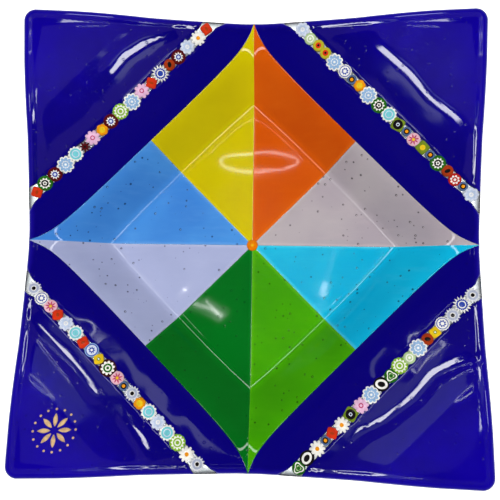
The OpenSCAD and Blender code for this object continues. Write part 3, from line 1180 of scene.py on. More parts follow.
@dataclass
class CobaltFrame:
    """The cobalt bands beside the tiles and the cobalt wings in the corners.

    Args:
        kiln: The kiln.
        gap: Gap between two bands, where they meet at a fold.
        step: Distance between the mesh's lines.
        edge_step: Distance of the first line from a piece's inner edge.
        channel_round: Radius of the edges along the channel.
        edge_round: Radius of the edge along the tiles.
        creep: How far the channel's sides have crept in.
        creep_reach: Distance over which the creep fades inside a piece.
        waver: Unevenness of the creep.
        waver_length: Usual distance between two of its waves.
        waver_seed: Slice of the noise that it starts from.
        sides_apart: Distance in the noise between the channel's two sides.
        flare: How much less the sides creep at the rim.
        flare_reach: Distance over which that fades.
        rim_hold: Distance from the rim within which it is held in place.
    """

    kiln: Kiln
    gap: float = 0.1 * MM
    step: float = 2.2 * MM
    edge_step: float = 0.6 * MM
    channel_round: float = 1.5 * MM
    edge_round: float = 0.14 * MM
    creep: float = 1.8 * MM
    creep_reach: float = 3.4 * MM
    waver: float = 0.7 * MM
    waver_length: float = 5 * MM
    waver_seed: float = 5.0
    sides_apart: float = 40 * MM
    flare: float = 1.9 * MM
    flare_reach: float = 3.5 * MM
    rim_hold: float = 5 * MM

    def flow(self, blank: np.ndarray, turns: int) -> np.ndarray:
        """Creeps the channel's two sides towards the murrine, and back again where they meet the rim.

        Args:
            blank: Rows of flat points in the first quarter.
            turns: Quarter that the piece goes to, which sets how its sides waver.

        Returns:
            The rows after the creep.
        """
        slump = self.kiln.slump
        u, v, h = blank.T
        p, t = (u + v) / ROOT2, (v - u) / ROOT2
        outside = p > slump.channel_at + slump.channel_w / 2
        past = np.where(outside, p - slump.channel_at - slump.channel_w, slump.channel_at - p)
        waver = sampled_noise(t, outside * self.sides_apart, self.waver_length, self.waver_seed + turns)
        flare = self.flare * np.exp(-slump.rim_distance(u, v) / self.flare_reach)
        creep = (self.creep + self.waver * waver - flare) * np.exp(-((past / self.creep_reach) ** 2))
        step = np.where(outside, -creep, creep) / ROOT2
        free_u = smooth_step((slump.half - u) / self.rim_hold)
        free_v = smooth_step((slump.half - v) / self.rim_hold)
        return np.stack([u + step * free_u, v + step * free_v, h], axis=1)

    def past_row(self, blank: np.ndarray) -> np.ndarray:
        """Distance outwards from the row of murrine, 0 inside it; it places the cobalt's painted shade."""
        p = (blank[:, 0] + blank[:, 1]) / ROOT2
        return np.maximum(p - self.kiln.slump.channel_at - self.kiln.slump.channel_w, 0)

    def diced(self, start: float, end: float) -> list[Cut]:
        """Lines that dice a piece between two distances from the centre.

        Args:
            start: Distance of its inner side.
            end: Distance of its outer side.

        Returns:
            The lines.
        """
        slump = self.kiln.slump
        width = slump.half * ROOT2 - start
        reach = spread(start, end, self.step)[1:]
        reach += [start + self.edge_step, start + self.step, end - self.step]
        side = [s * x for x in spread(0, width, self.step)[1:] for s in (-1, 1)] + [0]
        return ([Cut(DIAGONAL, DIAGONAL, x) for x in reach]
                + [Cut(-DIAGONAL, DIAGONAL, x) for x in side]
                + [Cut(*axis, slump.half - d) for d in RIM_ROWS for axis in ((1, 0), (0, 1))])

    def band(self) -> bpy.types.Mesh:
        """Cuts the band of the first quarter.

        Returns:
            Its flat mesh.
        """
        slump = self.kiln.slump
        low = self.gap / 2 * ROOT2
        high = slump.channel_at * ROOT2 - slump.half
        outline = [(slump.half, low), (slump.half, high), (high, slump.half), (low, slump.half)]
        cuts = self.diced(slump.tile_reach, slump.channel_at)
        plate = Plate(outline, slump.base - slump.seat, slump.thick,
                      [0, self.channel_round, 0, self.edge_round], cuts)
        return mesh_of(plate.solid(), "band_flat")

    def wing(self) -> bpy.types.Mesh:
        """Cuts the wing of the first quarter.

        Returns:
            Its flat mesh.
        """
        slump = self.kiln.slump
        start = slump.channel_at + slump.channel_w
        low = start * ROOT2 - slump.half
        outline = [(slump.half, low), (slump.half, slump.half), (low, slump.half)]
        cuts = self.diced(start, slump.half * ROOT2)
        plate = Plate(outline, slump.base - slump.seat, slump.thick, [0, 0, self.channel_round], cuts)
        return mesh_of(plate.solid(), "wing_flat")

    def build(self, finish: SheetGlass) -> None:
        """Builds the bands and wings of all four quarters.

        Args:
            finish: Their finish.
        """
        material = finish.material()
        for part, flat in (("band", self.band()), ("wing", self.wing())):
            for turns, quarter in enumerate(QUARTERS):
                piece = self.kiln.fired(f"{part}_{quarter}_glass", flat, turns, self.past_row, self.flow)
                self.kiln.hand_over(piece, material, "cobalt_glass", f"{part}_{quarter}")


# -------------------------------------------------------------------------------------------- murrine


class Shape(Enum):
    """Outlines that a ring of cane is drawn to."""

    ROUND = "round"
    PETALS = "petals"
    RAYS = "rays"
    OVAL = "oval"
    BLOCK = "block"
    TRIANGLE = "triangle"


PETAL_POWER = 0.7  # below 1 makes petals blunt
BLOCK_REACH, BLOCK_POWER = 0.86, 6  # the higher the power, the squarer the block


@dataclass(frozen=True)
class Ring:
    """One layer of a cane, seen from its end.

    Args:
        reach: Its outer radius, as a share of the slice's.
        colour: Its colour.
        shape: Its outline.
        points: How many petals or rays it has.
        cut: How deep the notches between them are, as a share of its radius.
    """

    reach: float
    colour: Colour
    shape: Shape = Shape.ROUND
    points: int = 0
    cut: float = 0.0

    def radius(self, turn: float) -> float:
        """Finds the outline's radius at an angle.

        Args:
            turn: The angle, in radians.

        Returns:
            The radius, as a share of the slice's.
        """
        x, y = math.cos(turn), math.sin(turn)
        petal = abs(math.cos(self.points * turn / 2)) ** PETAL_POWER
        ray = abs((self.points * turn / math.pi) % 2 - 1)
        shares = {
            Shape.ROUND: 1.0,
            Shape.PETALS: 1 - self.cut * (1 - petal),
            Shape.RAYS: 1 - self.cut * ray,
            Shape.OVAL: 1 / math.hypot(x / (1 - self.cut), y),
            Shape.BLOCK: BLOCK_REACH * (x ** BLOCK_POWER + y ** BLOCK_POWER) ** (-1 / BLOCK_POWER),
            Shape.TRIANGLE: 1 - self.cut * (1 - math.cos(3 * turn)) / 2,
        }
        return self.reach * shares[self.shape]


@dataclass(frozen=True)
class Cane:
    """Pattern of a murrina.

    Args:
        radius: Radius of the cut slice, in millimetres.
        rings: Its rings, from the outside in.
        spread: How much wider it has become by melting into the glass around it.
    """

    radius: float
    rings: tuple[Ring, ...]
    spread: float = 1.18

    @property
    def corners(self) -> int:
        """Points along each ring, enough for its petals or rays."""
        most = max(ring.points for ring in self.rings)
        return 48 if most < 7 else most * (6 if most < 10 else 4)


WHITE = srgb(238, 236, 228)
ICE = srgb(206, 214, 230)
SKY = srgb(140, 174, 210)
ROYAL = srgb(42, 66, 158)
INK = srgb(24, 20, 22)
RED = srgb(206, 52, 22)
AMBER = srgb(230, 146, 14)
GOLD = srgb(226, 190, 30)
RUST = srgb(160, 54, 18)
MAROON = srgb(84, 12, 18)
ROSE = srgb(178, 52, 96)
PINK = srgb(228, 182, 212)
LEAF = srgb(34, 98, 20)
LIME = srgb(132, 178, 48)
OLIVE = srgb(112, 134, 34)
AQUA = srgb(112, 196, 204)
MIST = srgb(176, 200, 150)

CANES = {
    "red_block": Cane(2.9, (Ring(1, RED, Shape.BLOCK), Ring(0.36, RUST, Shape.OVAL, cut=0.4))),
    "amber_block": Cane(2.9, (Ring(1, AMBER, Shape.PETALS, 6, 0.12), Ring(0.5, GOLD))),
    "yellow_block": Cane(2.7, (Ring(1, GOLD, Shape.BLOCK), Ring(0.3, OLIVE), Ring(0.15, WHITE))),
    "lime_block": Cane(3.2, (Ring(1, OLIVE, Shape.BLOCK), Ring(0.4, GOLD))),
    "yellow_eye": Cane(2.8, (Ring(1, srgb(186, 176, 40)), Ring(0.5, RED), Ring(0.2, INK))),
    "brown_eye": Cane(2.8, (Ring(1, RUST), Ring(0.5, INK, Shape.OVAL, cut=0.35))),
    "grey_eye": Cane(2.3, (Ring(1, srgb(84, 106, 146)), Ring(0.62, INK), Ring(0.34, AMBER))),
    "red_dots": Cane(3.1, (Ring(1, srgb(176, 30, 20)), Ring(0.72, WHITE, Shape.PETALS, 8, 0.45),
                           Ring(0.42, srgb(176, 30, 20)), Ring(0.2, WHITE))),
    "green_star": Cane(3.6, (Ring(1, LEAF), Ring(0.74, WHITE, Shape.RAYS, 10, 0.34), Ring(0.46, INK),
                             Ring(0.28, WHITE, Shape.PETALS, 5, 0.4), Ring(0.12, INK)), 1.24),
    "lime_star": Cane(3.9, (Ring(1, LIME, Shape.PETALS, 12, 0.06),
                            Ring(0.84, WHITE, Shape.RAYS, 12, 0.3), Ring(0.54, LIME),
                            Ring(0.36, WHITE), Ring(0.22, LIME)), 1.2),
    "maroon_star": Cane(3.6, (Ring(1, MAROON), Ring(0.66, WHITE, Shape.RAYS, 10, 0.4),
                              Ring(0.36, ROYAL), Ring(0.18, ICE))),
    "dark_star": Cane(2.5, (Ring(1, MAROON, Shape.RAYS, 8, 0.55), Ring(0.2, INK)), 1.35),
    "blue_star": Cane(3.4, (Ring(1, SKY), Ring(0.84, ROYAL), Ring(0.7, ICE),
                            Ring(0.5, ROYAL, Shape.RAYS, 8, 0.45), Ring(0.16, WHITE))),
    "sky_flower": Cane(4.2, (Ring(1, WHITE, Shape.PETALS, 10, 0.2),
                             Ring(0.8, SKY, Shape.PETALS, 10, 0.26),
                             Ring(0.42, WHITE, Shape.PETALS, 10, 0.2), Ring(0.32, SKY),
                             Ring(0.12, WHITE)), 1.24),
    "aqua_flower": Cane(3.7, (Ring(1, WHITE, Shape.PETALS, 12, 0.2), Ring(0.7, AQUA),
                              Ring(0.46, ICE), Ring(0.36, AQUA)), 1.24),
    "pink_flower": Cane(3.8, (Ring(1, PINK, Shape.PETALS, 8, 0.3), Ring(0.3, ROSE), Ring(0.17, PINK))),
    "clear_flower": Cane(3.7, (Ring(1, ICE, Shape.PETALS, 8, 0.22), Ring(0.66, srgb(182, 196, 220),
                                                                        Shape.PETALS, 8, 0.3),
                               Ring(0.28, WHITE), Ring(0.15, ICE))),
    "flower_disc": Cane(4.2, (Ring(1, srgb(58, 20, 22)), Ring(0.8, WHITE, Shape.PETALS, 10, 0.3),
                              Ring(0.5, LEAF), Ring(0.3, WHITE), Ring(0.16, LEAF))),
    "daisy": Cane(3.9, (Ring(1, WHITE, Shape.PETALS, 10, 0.34), Ring(0.25, AMBER))),
    "pink_cross": Cane(3.2, (Ring(1, srgb(226, 178, 190)), Ring(0.82, ROSE, Shape.RAYS, 8, 0.68),
                             Ring(0.22, GOLD))),
    "blue_cog": Cane(4.1, (Ring(1, WHITE, Shape.RAYS, 15, 0.42), Ring(0.62, ROYAL, Shape.RAYS, 15, 0.16),
                           Ring(0.4, WHITE), Ring(0.3, ROYAL)), 1.3),
    "lace": Cane(3.7, (Ring(1, srgb(216, 218, 222), Shape.RAYS, 14, 0.3),
                       Ring(0.62, srgb(166, 172, 192)),
                       Ring(0.38, WHITE, Shape.RAYS, 14, 0.3), Ring(0.24, INK)), 1.22),
    "olive_disc": Cane(3.5, (Ring(1, OLIVE, Shape.BLOCK), Ring(0.66, INK), Ring(0.24, ICE),
                             Ring(0.14, INK))),
    "green_ring": Cane(2.9, (Ring(1, MIST), Ring(0.6, WHITE), Ring(0.44, MIST), Ring(0.2, WHITE))),
    "cell_ring": Cane(3.4, (Ring(1, WHITE, Shape.PETALS, 16, 0.08), Ring(0.8, ROYAL), Ring(0.68, WHITE),
                            Ring(0.5, ROYAL, Shape.PETALS, 8, 0.4), Ring(0.24, WHITE))),
    "oval_ring": Cane(3.7, (Ring(1, INK, Shape.OVAL, cut=0.1), Ring(0.76, WHITE, Shape.OVAL, cut=0.22),
                            Ring(0.48, INK, Shape.OVAL, cut=0.3))),
    "green_triangle": Cane(3.2, (Ring(1, LEAF), Ring(0.84, WHITE, Shape.TRIANGLE, cut=0.34),
                                 Ring(0.66, LEAF, Shape.TRIANGLE, cut=0.34),
                                 Ring(0.42, MIST, Shape.TRIANGLE, cut=0.34), Ring(0.26, LEAF))),
}

# The rows of murrine, each anticlockwise, starting with the top right one
ROWS = (
    ("clear_flower", "grey_eye", "red_dots", "brown_eye", "green_star", "grey_eye", "lime_block",
     "pink_cross", "grey_eye", "olive_disc", "aqua_flower", "green_star", "sky_flower", "amber_block",
     "grey_eye", "cell_ring", "sky_flower", "yellow_eye", "yellow_eye", "green_ring", "clear_flower"),
    ("red_block", "daisy", "clear_flower", "maroon_star", "brown_eye", "blue_cog", "red_block",
     "pink_flower", "sky_flower", "lime_star", "maroon_star", "amber_block", "pink_flower",
     "dark_star", "aqua_flower", "sky_flower", "maroon_star", "green_star", "red_block"),
    ("lace", "cell_ring", "pink_cross", "red_block", "clear_flower", "aqua_flower", "red_block",
     "blue_star", "yellow_block", "flower_disc", "pink_cross", "grey_eye", "lace", "amber_block",
     "aqua_flower", "clear_flower", "aqua_flower", "lime_star", "daisy", "lace"),
    ("green_triangle", "oval_ring", "daisy", "grey_eye", "red_block", "daisy", "olive_disc",
     "pink_flower", "sky_flower", "oval_ring", "green_triangle", "lime_star", "green_ring",
     "sky_flower", "brown_eye", "yellow_block", "cell_ring", "lace", "blue_cog", "lace"),
)


# Shares of a slice's radius at its foot, half way up, at its shoulder and at its top edge
FOOT, BELLY, SHOULDER, EDGE = 0.97, 1.0, 0.985, 0.94
SHOULDER_H = 0.25 * MM  # how far the shoulder lies under the top edge


def add_slice(bm: bmesh.types.BMesh, cane: Cane, low: float, high: float, dome: float,
              place: Matrix) -> None:
    """Adds a slice of cane: a rounded side, then one ring of faces for each layer of the pattern.

    Args:
        bm: Mesh to add to, with a colour layer named cane.
        cane: Its pattern, with its radius in millimetres.
        low: Height of its underside.
        high: Height of its top edge.
        dome: How far its middle stands above that edge.
        place: Turn and place on the blank.
    """
    layer = bm.loops.layers.float_color["cane"]
    radius = cane.radius * cane.spread * MM
    outer = cane.rings[0]
    before = set(bm.verts)
    circle = bmesh.ops.create_circle(bm, cap_ends=False, segments=cane.corners, radius=radius)
    levels = [(outer, FOOT, low), (outer, BELLY, low + 0.5 * (high - low)),
              (outer, SHOULDER, high - SHOULDER_H), (outer, EDGE, high)]
    levels += [(ring, 1.0, high + dome * (1 - ring.reach**2)) for ring in cane.rings[1:]]
    verts = circle["verts"]
    edges = list({edge for vert in verts for edge in vert.link_edges})
    set_ring(verts, *levels[0], radius)
    bottom = bmesh.ops.contextual_create(bm, geom=edges)["faces"]
    made = [(bottom, outer.colour)]
    for index, (ring, share, height) in enumerate(levels[1:], 1):
        grown = bmesh.ops.extrude_edge_only(bm, edges=edges)["geom"]
        verts = [g for g in grown if isinstance(g, bmesh.types.BMVert)]
        inside = set(verts)
        edges = [g for g in grown if isinstance(g, bmesh.types.BMEdge)
                 and g.verts[0] in inside and g.verts[1] in inside]
        set_ring(verts, ring, share, height, radius)
        faces = [g for g in grown if isinstance(g, bmesh.types.BMFace)]
        made.append((faces, levels[index - 1][0].colour))
    cap = bmesh.ops.contextual_create(bm, geom=edges)["faces"]
    middle = bmesh.ops.poke(bm, faces=cap)
    made.append((middle["faces"], levels[-1][0].colour))
    for vert in middle["verts"]:
        vert.co = (0, 0, high + dome)
    for faces, colour in made:
        for face in faces:
            for loop in face.loops:
                loop[layer] = (*colour, 1)
    fresh = [vert for vert in bm.verts if vert not in before]
    bmesh.ops.transform(bm, matrix=place, verts=fresh)


def set_ring(verts: Iterable[bmesh.types.BMVert], ring: Ring, share: float, height: float,
             radius: float) -> None:
    """Moves a loop of points straight in or out to a ring's outline.

    Args:
        verts: The loop.
        ring: The outline.
        share: Share of the outline's radius.
        height: Height of the loop.
        radius: Radius of the slice.
    """
    for vert in verts:
        turn = math.atan2(vert.co.y, vert.co.x)
        reach = radius * share * ring.radius(turn)
        vert.co = (reach * math.cos(turn), reach * math.sin(turn), height)


@dataclass
class Murrine:
    """The four rows of cane slices, and the one at the centre.

    Args:
        kiln: The kiln.
        row_length: Length of a row.
        row_wobble: How far slices stand off its middle.
        wobble_step: Degrees by which that moves on from one slice to the next.
        turn_step: Degrees by which each slice is turned more than the one before.
        seat: How far the slices' undersides lie above the top of the base sheet.
        proud: How far their edges stand above the sheets beside them.
        dome: How far their middles stand above their edges.
        centre: Cane of the murrina at the centre.
        centre_h: Height of its middle above the tiles.
        centre_dome: Height of its dome.
    """

    kiln: Kiln
    row_length: float = 141 * MM
    row_wobble: float = 0.35 * MM
    wobble_step: float = 148
    turn_step: float = 37
    seat: float = 0.1 * MM
    proud: float = 0.05 * MM
    dome: float = 0.2 * MM
    centre: Cane = Cane(3.4, (Ring(1, srgb(222, 112, 6)), Ring(0.9, srgb(230, 122, 4)),
                              Ring(0.26, srgb(240, 180, 20))), 1.0)
    centre_h: float = 1.5 * MM
    centre_dome: float = 0.5 * MM

    def places(self) -> dict[str, list[Matrix]]:
        """Places every slice.

        Returns:
            Turn and place of each, by the name of its cane.
        """
        slump = self.kiln.slump
        middle = slump.channel_at + slump.channel_w / 2
        found: dict[str, list[Matrix]] = {name: [] for name in CANES}
        for turns, row in enumerate(ROWS):
            widths = [2 * CANES[name].radius * MM for name in row]
            spare = (self.row_length - sum(widths)) / (len(row) - 1)
            for i, name in enumerate(row):
                t = sum(widths[:i]) + widths[i] / 2 + i * spare - self.row_length / 2
                swing = math.radians((i + turns) * self.wobble_step)
                out = middle + self.row_wobble * math.sin(swing)
                flat = np.array([[(out - t) / ROOT2, (out + t) / ROOT2, 0.0]])
                point = quarter_turned(flat, turns)[0]
                turn = math.radians((i + turns) * self.turn_step)
                found[name].append(Matrix.Translation(point) @ Matrix.Rotation(turn, 4, "Z"))
        return found

    def build(self) -> None:
        """Builds one piece for each cane pattern, and the murrina at the centre."""
        slump = self.kiln.slump
        for name, places in self.places().items():
            bm = bmesh.new()
            bm.loops.layers.float_color.new("cane")
            for place in places:
                add_slice(bm, CANES[name], slump.base + self.seat, slump.thick + self.proud,
                          self.dome, place)
            self.finished(bm, f"murrine_{name}_glass", name, f"murrine_{name}", f"cane_{name}")
        bm = bmesh.new()
        bm.loops.layers.float_color.new("cane")
        top = slump.thick + self.centre_h
        add_slice(bm, self.centre, slump.thick, top - self.centre_dome, self.centre_dome,
                  Matrix.Identity(4))
        self.finished(bm, "murrina_centre_glass", "amber_centre", "murrina_centre", "amber_cane")

    def finished(self, bm: bmesh.types.BMesh, name: str, cane: str, node: str, slot: str) -> None:
        """Fires a piece and hands it over.

        Args:
            bm: Its flat slices.
            name: Name of the piece.
            cane: Name of its cane, for the material.
            node: Node that it replaces.
            slot: Slot of the record.
        """
        bmesh.ops.recalc_face_normals(bm, faces=bm.faces[:])
        piece = self.kiln.fired(name, mesh_of(bm, "slices_flat"))
        self.kiln.hand_over(piece, CaneGlass(f"cane_{cane}").material(), slot, node)


@dataclass
class Ornament:
    """Gilded flower of narrow petals in a ring of dots, on the bottom left wing.

    Args:
        kiln: The kiln.
        at: Place of its middle, on the blank both ways.
        reach: Radius of the ring of dots.
        petals: How many petals it has; there are twice as many dots.
        dot_r: Radius of a dot.
        lift: How far it stands off the wing.
        thick: Thickness of the gold.
        petal_start: Where a petal starts, as a share of the reach.
        petal_length: Length of a petal, as a share of the reach.
        petal_w: Half its width, as a share of the reach.
        taper: Share of its width that is gone at its ends.
    """

    kiln: Kiln
    at: float = -111 * MM
    reach: float = 10.5 * MM
    petals: int = 8
    dot_r: float = 0.63 * MM
    lift: float = 0.02 * MM
    thick: float = 0.16 * MM
    petal_start: float = 0.18
    petal_length: float = 0.62
    petal_w: float = 0.112
    taper: float = 0.55

    def build(self, finish: Gilding) -> None:
        """Builds the ornament from flattened domes.

        Args:
            finish: Its finish.
        """
        bm = bmesh.new()
        low = self.kiln.slump.thick + self.lift
        dots = 2 * self.petals
        for i in range(dots):
            turn = 2 * math.pi * i / dots
            u, v = self.at + self.reach * math.cos(turn), self.at + self.reach * math.sin(turn)
            self.dome(bm, Matrix.Translation((u, v, low)), self.dot_r, self.dot_r)
        for i in range(self.petals):
            turn = Matrix.Rotation(2 * math.pi * i / self.petals, 4, "Z")
            middle = self.reach * (self.petal_start + self.petal_length / 2)
            place = Matrix.Translation((self.at, self.at, low)) @ turn @ Matrix.Translation((middle, 0, 0))
            self.dome(bm, place, self.reach * self.petal_length / 2, self.reach * self.petal_w)
        bmesh.ops.recalc_face_normals(bm, faces=bm.faces[:])
        piece = self.kiln.fired("gilt_ornament_gold", mesh_of(bm, "gilt_flat"))
        self.kiln.hand_over(piece, finish.material(), "gilt", "gilt_ornament")

    def dome(self, bm: bmesh.types.BMesh, place: Matrix, length: float, width: float) -> None:
        """Adds a low dome, with narrow ends if it is longer than wide.

        Args:
            bm: Mesh to add to.
            place: Place of its middle.
            length: Half its length.
            width: Half its width.
        """
        made = bmesh.ops.create_uvsphere(bm, u_segments=24, v_segments=8, radius=1)["verts"]
        for vert in made:
            narrow = 1 - self.taper * vert.co.x ** 2 if length > width else 1
            vert.co = (vert.co.x * length, vert.co.y * width * narrow, max(vert.co.z, 0) * self.thick)
        bmesh.ops.transform(bm, matrix=place, verts=made)


# --------------------------------------------------------------------------------------------- studio


@dataclass(frozen=True)
class StreakLamp:
    """Narrow lamp that shows as a streak in one of the wings.

    Args:
        turns: Quarter turns to its wing.
        p: Distance of the streak from the centre, on the blank.
        t: Its place along the row.
        length: Length of the lamp.
        width: Width of the lamp.
        tilt: Degrees by which it is turned about its own direction.
        glow: Its brightness.
        lift: Degrees by which the glass there is steeper than the plain wing.
        pieces: Pieces that mirror it, or none for the wing of its quarter.
    """

    turns: int
    p: float
    t: float
    length: float
    width: float
    tilt: float = 0
    glow: float = 16
    lift: float = 0
    pieces: tuple[str, ...] = ()


@dataclass(frozen=True)
class RimLamp:
    """Lamp that draws a thin line in the hollow along a rim.

    Args:
        turns: Quarter turns to its wing.
        at: Place of the middle of the line, on the blank.
        along: Direction of the rim, in degrees.
        lift: Degrees by which the hollow is steeper than the plain wing.
        size: Length and width of the lamp.
        glow: Its brightness.
    """

    turns: int
    at: tuple[float, float]
    along: float
    lift: float = -9
    size: tuple[float, float] = (0.42, 0.2)
    glow: float = 9


@dataclass
class Studio:
    """Floor, lamps, sky and camera.

    Args:
        slump: The bowl's shape, for the lamps that it mirrors.
        distance: Distance of the camera from the middle of the bowl.
        focal: Its focal length, in the unit of image.
        image: Side of the image.
        sensor: Width of the camera's sensor, in millimetres.
        tilt: Angle by which the camera looks from the front, in radians.
        roll: Its roll.
        pan: Angle by which it looks from the side.
        principal: Where its axis meets the image, from the top left.
        box_turn: Degrees by which the softboxes are turned from the bowl's sides.
        box_away: Distance of the softboxes.
        box_elevation: Their height, in degrees.
        box_size: Their width and height.
        box_power: Their power in watts.
        strip_glow: Brightness of the strips along the floor's sides.
        strip_lean: Degrees by which they lie off the vertical.
        strip_away: Their distance.
        strip_size: Their length and width.
        card_glows: Brightness of each wing's card.
        card_starts: Where each card starts, in degrees from the vertical.
        card_height: Height of the cards.
        card_size: Their width and depth.
        card_tint: Their colour.
        lamp_away: Distance from the glass of the lamps that it mirrors.
        halo_from: Brightness above which a streak on plain glass has haze round it.
        halo_length: Length of the haze, as a multiple of the streak's.
        halo_width: Width of the haze, likewise.
        halo_share: Brightness of the haze, as a share of the streak's.
        streaks: Lamps for the streaks.
        rims: Lamps for the lines along the rim.
        ring_size: Radii of the ring lamp, to the right and away from the viewer.
        ring_widen: How much larger its outer edge is, likewise.
        ring_at: Its place.
        ring_strength: Its brightness.
        table_half: Half the table top's side.
        table_drop: How far it lies under the bowl.
        table_greys: Darkest and lightest grey of the table top.
        table_glow: Light that it gives off.
        sky_from: How high up the sky starts to darken and is darkest, from 0 to 1.
        sky_levels: Its brightness before and after.
        backdrop: Its brightness as the camera sees it.
    """

    slump: Slump
    distance: float = 330 * MM
    focal: float = 531.7
    image: float = 500
    sensor: float = 36
    tilt: float = 0.0673
    roll: float = -0.0118
    pan: float = -0.0315
    principal: tuple[float, float] = (252.65, 245.97)
    box_turn: int = 20
    box_away: float = 1.3
    box_elevation: float = 80
    box_size: tuple[float, float] = (0.6, 0.6)
    box_power: float = 7.6
    strip_glow: float = 8
    strip_lean: float = 25
    strip_away: float = 1.5
    strip_size: tuple[float, float] = (1.35, 0.1)
    card_glows: tuple[float, ...] = (0.24, 0.26, 0.2, 0.08)
    card_starts: tuple[float, ...] = (-8, -8, -9, -19)
    card_height: float = 2.0
    card_size: tuple[float, float] = (2.4, 1.1)
    card_tint: Colour = (0.8, 0.5, 1.0)
    lamp_away: float = 1.5
    halo_from: float = 2
    halo_length: float = 1.15
    halo_width: float = 6
    halo_share: float = 0.07
    streaks: tuple[StreakLamp, ...] = (
        StreakLamp(1, 136 * MM, -28 * MM, 0.24, 0.11, lift=4.4),
        StreakLamp(1, 135 * MM, -26 * MM, 0.16, 0.1, 0, 1.3),
        StreakLamp(0, 140 * MM, -3 * MM, 0.34, 0.11, lift=4.4),
        StreakLamp(0, 140 * MM, -6 * MM, 0.24, 0.08, 0, 1.3),
        StreakLamp(2, 133 * MM, -20 * MM, 0.3, 0.14, 0, 0.4),
        StreakLamp(3, 138 * MM, -4 * MM, 0.42, 0.2, 0, 0.45),
        StreakLamp(2, 127.5 * MM, -25 * MM, 0.36, 0.1, lift=5.0),
        StreakLamp(2, 128 * MM, 33 * MM, 0.16, 0.1, lift=5.0),
        StreakLamp(3, 129 * MM, -2 * MM, 0.62, 0.1, lift=5.0),
        StreakLamp(3, 49.6 * MM, 12.1 * MM, 0.016, 0.05, -60, 12, pieces=("tile_cyan_glass",)),
        StreakLamp(2, 48.3 * MM, -9.1 * MM, 0.012, 0.012, 0, 20, pieces=("tile_lilac_glass",)),
        StreakLamp(2, 46 * MM, 8 * MM, 0.13, 0.009, 21, 12, pieces=("tile_dark_green_glass",)),
        StreakLamp(2, 43.5 * MM, 11 * MM, 0.09, 0.007, 0, 12, pieces=("tile_dark_green_glass",)),
        StreakLamp(2, 107 * MM, 28 * MM, 0.42, 0.05, 0, 1.2, pieces=("band_bottom_left_glass",)),
        StreakLamp(3, 107 * MM, 4 * MM, 0.1, 0.03, 30, 1.0, pieces=("band_bottom_right_glass",)),
    )
    rims: tuple[RimLamp, ...] = (
        RimLamp(1, (-0.1, 0.1296), 0),
        RimLamp(1, (-0.1296, 0.085), 90, size=(0.16, 0.2)),
        RimLamp(0, (0.1, 0.1296), 0),
        RimLamp(3, (0.1296, -0.095), 90, size=(0.3, 0.2)),
    )
    ring_size: tuple[float, float] = (0.17, 0.042)
    ring_widen: tuple[float, float] = (1.03, 1.12)
    ring_at: tuple[float, float, float] = (-0.04, 0.507, 2.0)
    ring_strength: float = 22.0
    table_half: float = 4
    table_drop: float = 0.2 * MM
    table_greys: tuple[float, float] = (0.93, 0.96)
    table_glow: float = 0.25
    sky_from: tuple[float, float] = (0.55, 0.95)
    sky_levels: tuple[float, float] = (0.07, 0.02)
    backdrop: float = 0.9

    def rotation(self) -> Matrix:
        """Turn from the bowl's axes to the camera's."""
        return (Matrix.Rotation(self.pan, 3, "Y") @ Matrix.Rotation(-self.tilt, 3, "X")
                @ Matrix.Rotation(self.roll, 3, "Z"))

    def camera_place(self) -> Vector:
        """Place of the camera."""
        return self.rotation().transposed() @ Vector((0, 0, self.distance))

    def build(self) -> None:
        """Builds the whole studio."""
        self.camera()
        self.floor()
        self.sky()
        tiles = [f"tile_{colour}_glass" for colour in TILE_PLACES]
        for turns, quarter in enumerate(QUARTERS):
            self.softbox(90 * turns + self.box_turn)
            self.strip(90 * turns + 45, tiles)
            self.card(turns, quarter)
        self.ring_lamp()
        for index, streak in enumerate(self.streaks):
            self.streak_lamp(index, streak)
        for index, rim in enumerate(self.rims):
            self.rim_lamp(index, rim)

    def camera(self) -> None:
        """Places the camera above the bowl."""
        data = bpy.data.cameras.new("camera")
        data.sensor_width = self.sensor
        data.lens = self.sensor * self.focal / self.image
        data.shift_x = (self.image / 2 - self.principal[0]) / self.image
        data.shift_y = (self.principal[1] - self.image / 2) / self.image
        data.clip_start = 0.01
        camera = bpy.data.objects.new("camera", data)
        camera.matrix_world = (Matrix.Translation(self.camera_place())
                               @ self.rotation().transposed().to_4x4())
        bpy.context.scene.collection.objects.link(camera)
        bpy.context.scene.camera = camera

    def floor(self) -> None:
        """Lays a plain white table top under the bowl."""
        bm = bmesh.new()
        bmesh.ops.create_grid(bm, x_segments=1, y_segments=1, size=self.table_half)
        bmesh.ops.translate(bm, verts=bm.verts[:], vec=(0, 0, -self.table_drop))
        floor = bpy.data.objects.new("table_top", mesh_of(bm, "table_top"))
        bpy.context.scene.collection.objects.link(floor)
        material, g, place = new_material("table_white")
        dark, light = ((grey, grey, grey, 1.0) for grey in self.table_greys)
        shade = g.mix(g.noise(place, 3.0), dark, light)
        shader = g.add("BsdfPrincipled", {"Base Color": shade, "Roughness": 0.9,
                                          "Emission Color": (1, 1, 1, 1),
                                          "Emission Strength": self.table_glow})
        g.add("OutputMaterial", {"Surface": shader.outputs[0]})
        floor.data.materials.append(material)

    def sky(self) -> None:
        """Dim studio around the bowl, darkest overhead."""
        world = bpy.data.worlds.new("studio")
        bpy.context.scene.world = world
        world.use_nodes = True
        g = Graph(world.node_tree)
        up = g.add("SeparateXYZ", {"Vector": g.add("TexCoord").outputs["Generated"]}).outputs["Z"]
        level = g.ramp(up, *self.sky_from, *self.sky_levels)
        seen = g.add("LightPath").outputs["Is Camera Ray"]
        level = g.math("MAXIMUM", level, g.math("MULTIPLY", seen, self.backdrop))
        background = g.add("Background", {"Color": (1.0, 1.0, 1.0, 1.0), "Strength": level})
        g.add("OutputWorld", {"Surface": background.outputs[0]})
        bpy.context.scene.view_settings.view_transform = "Standard"

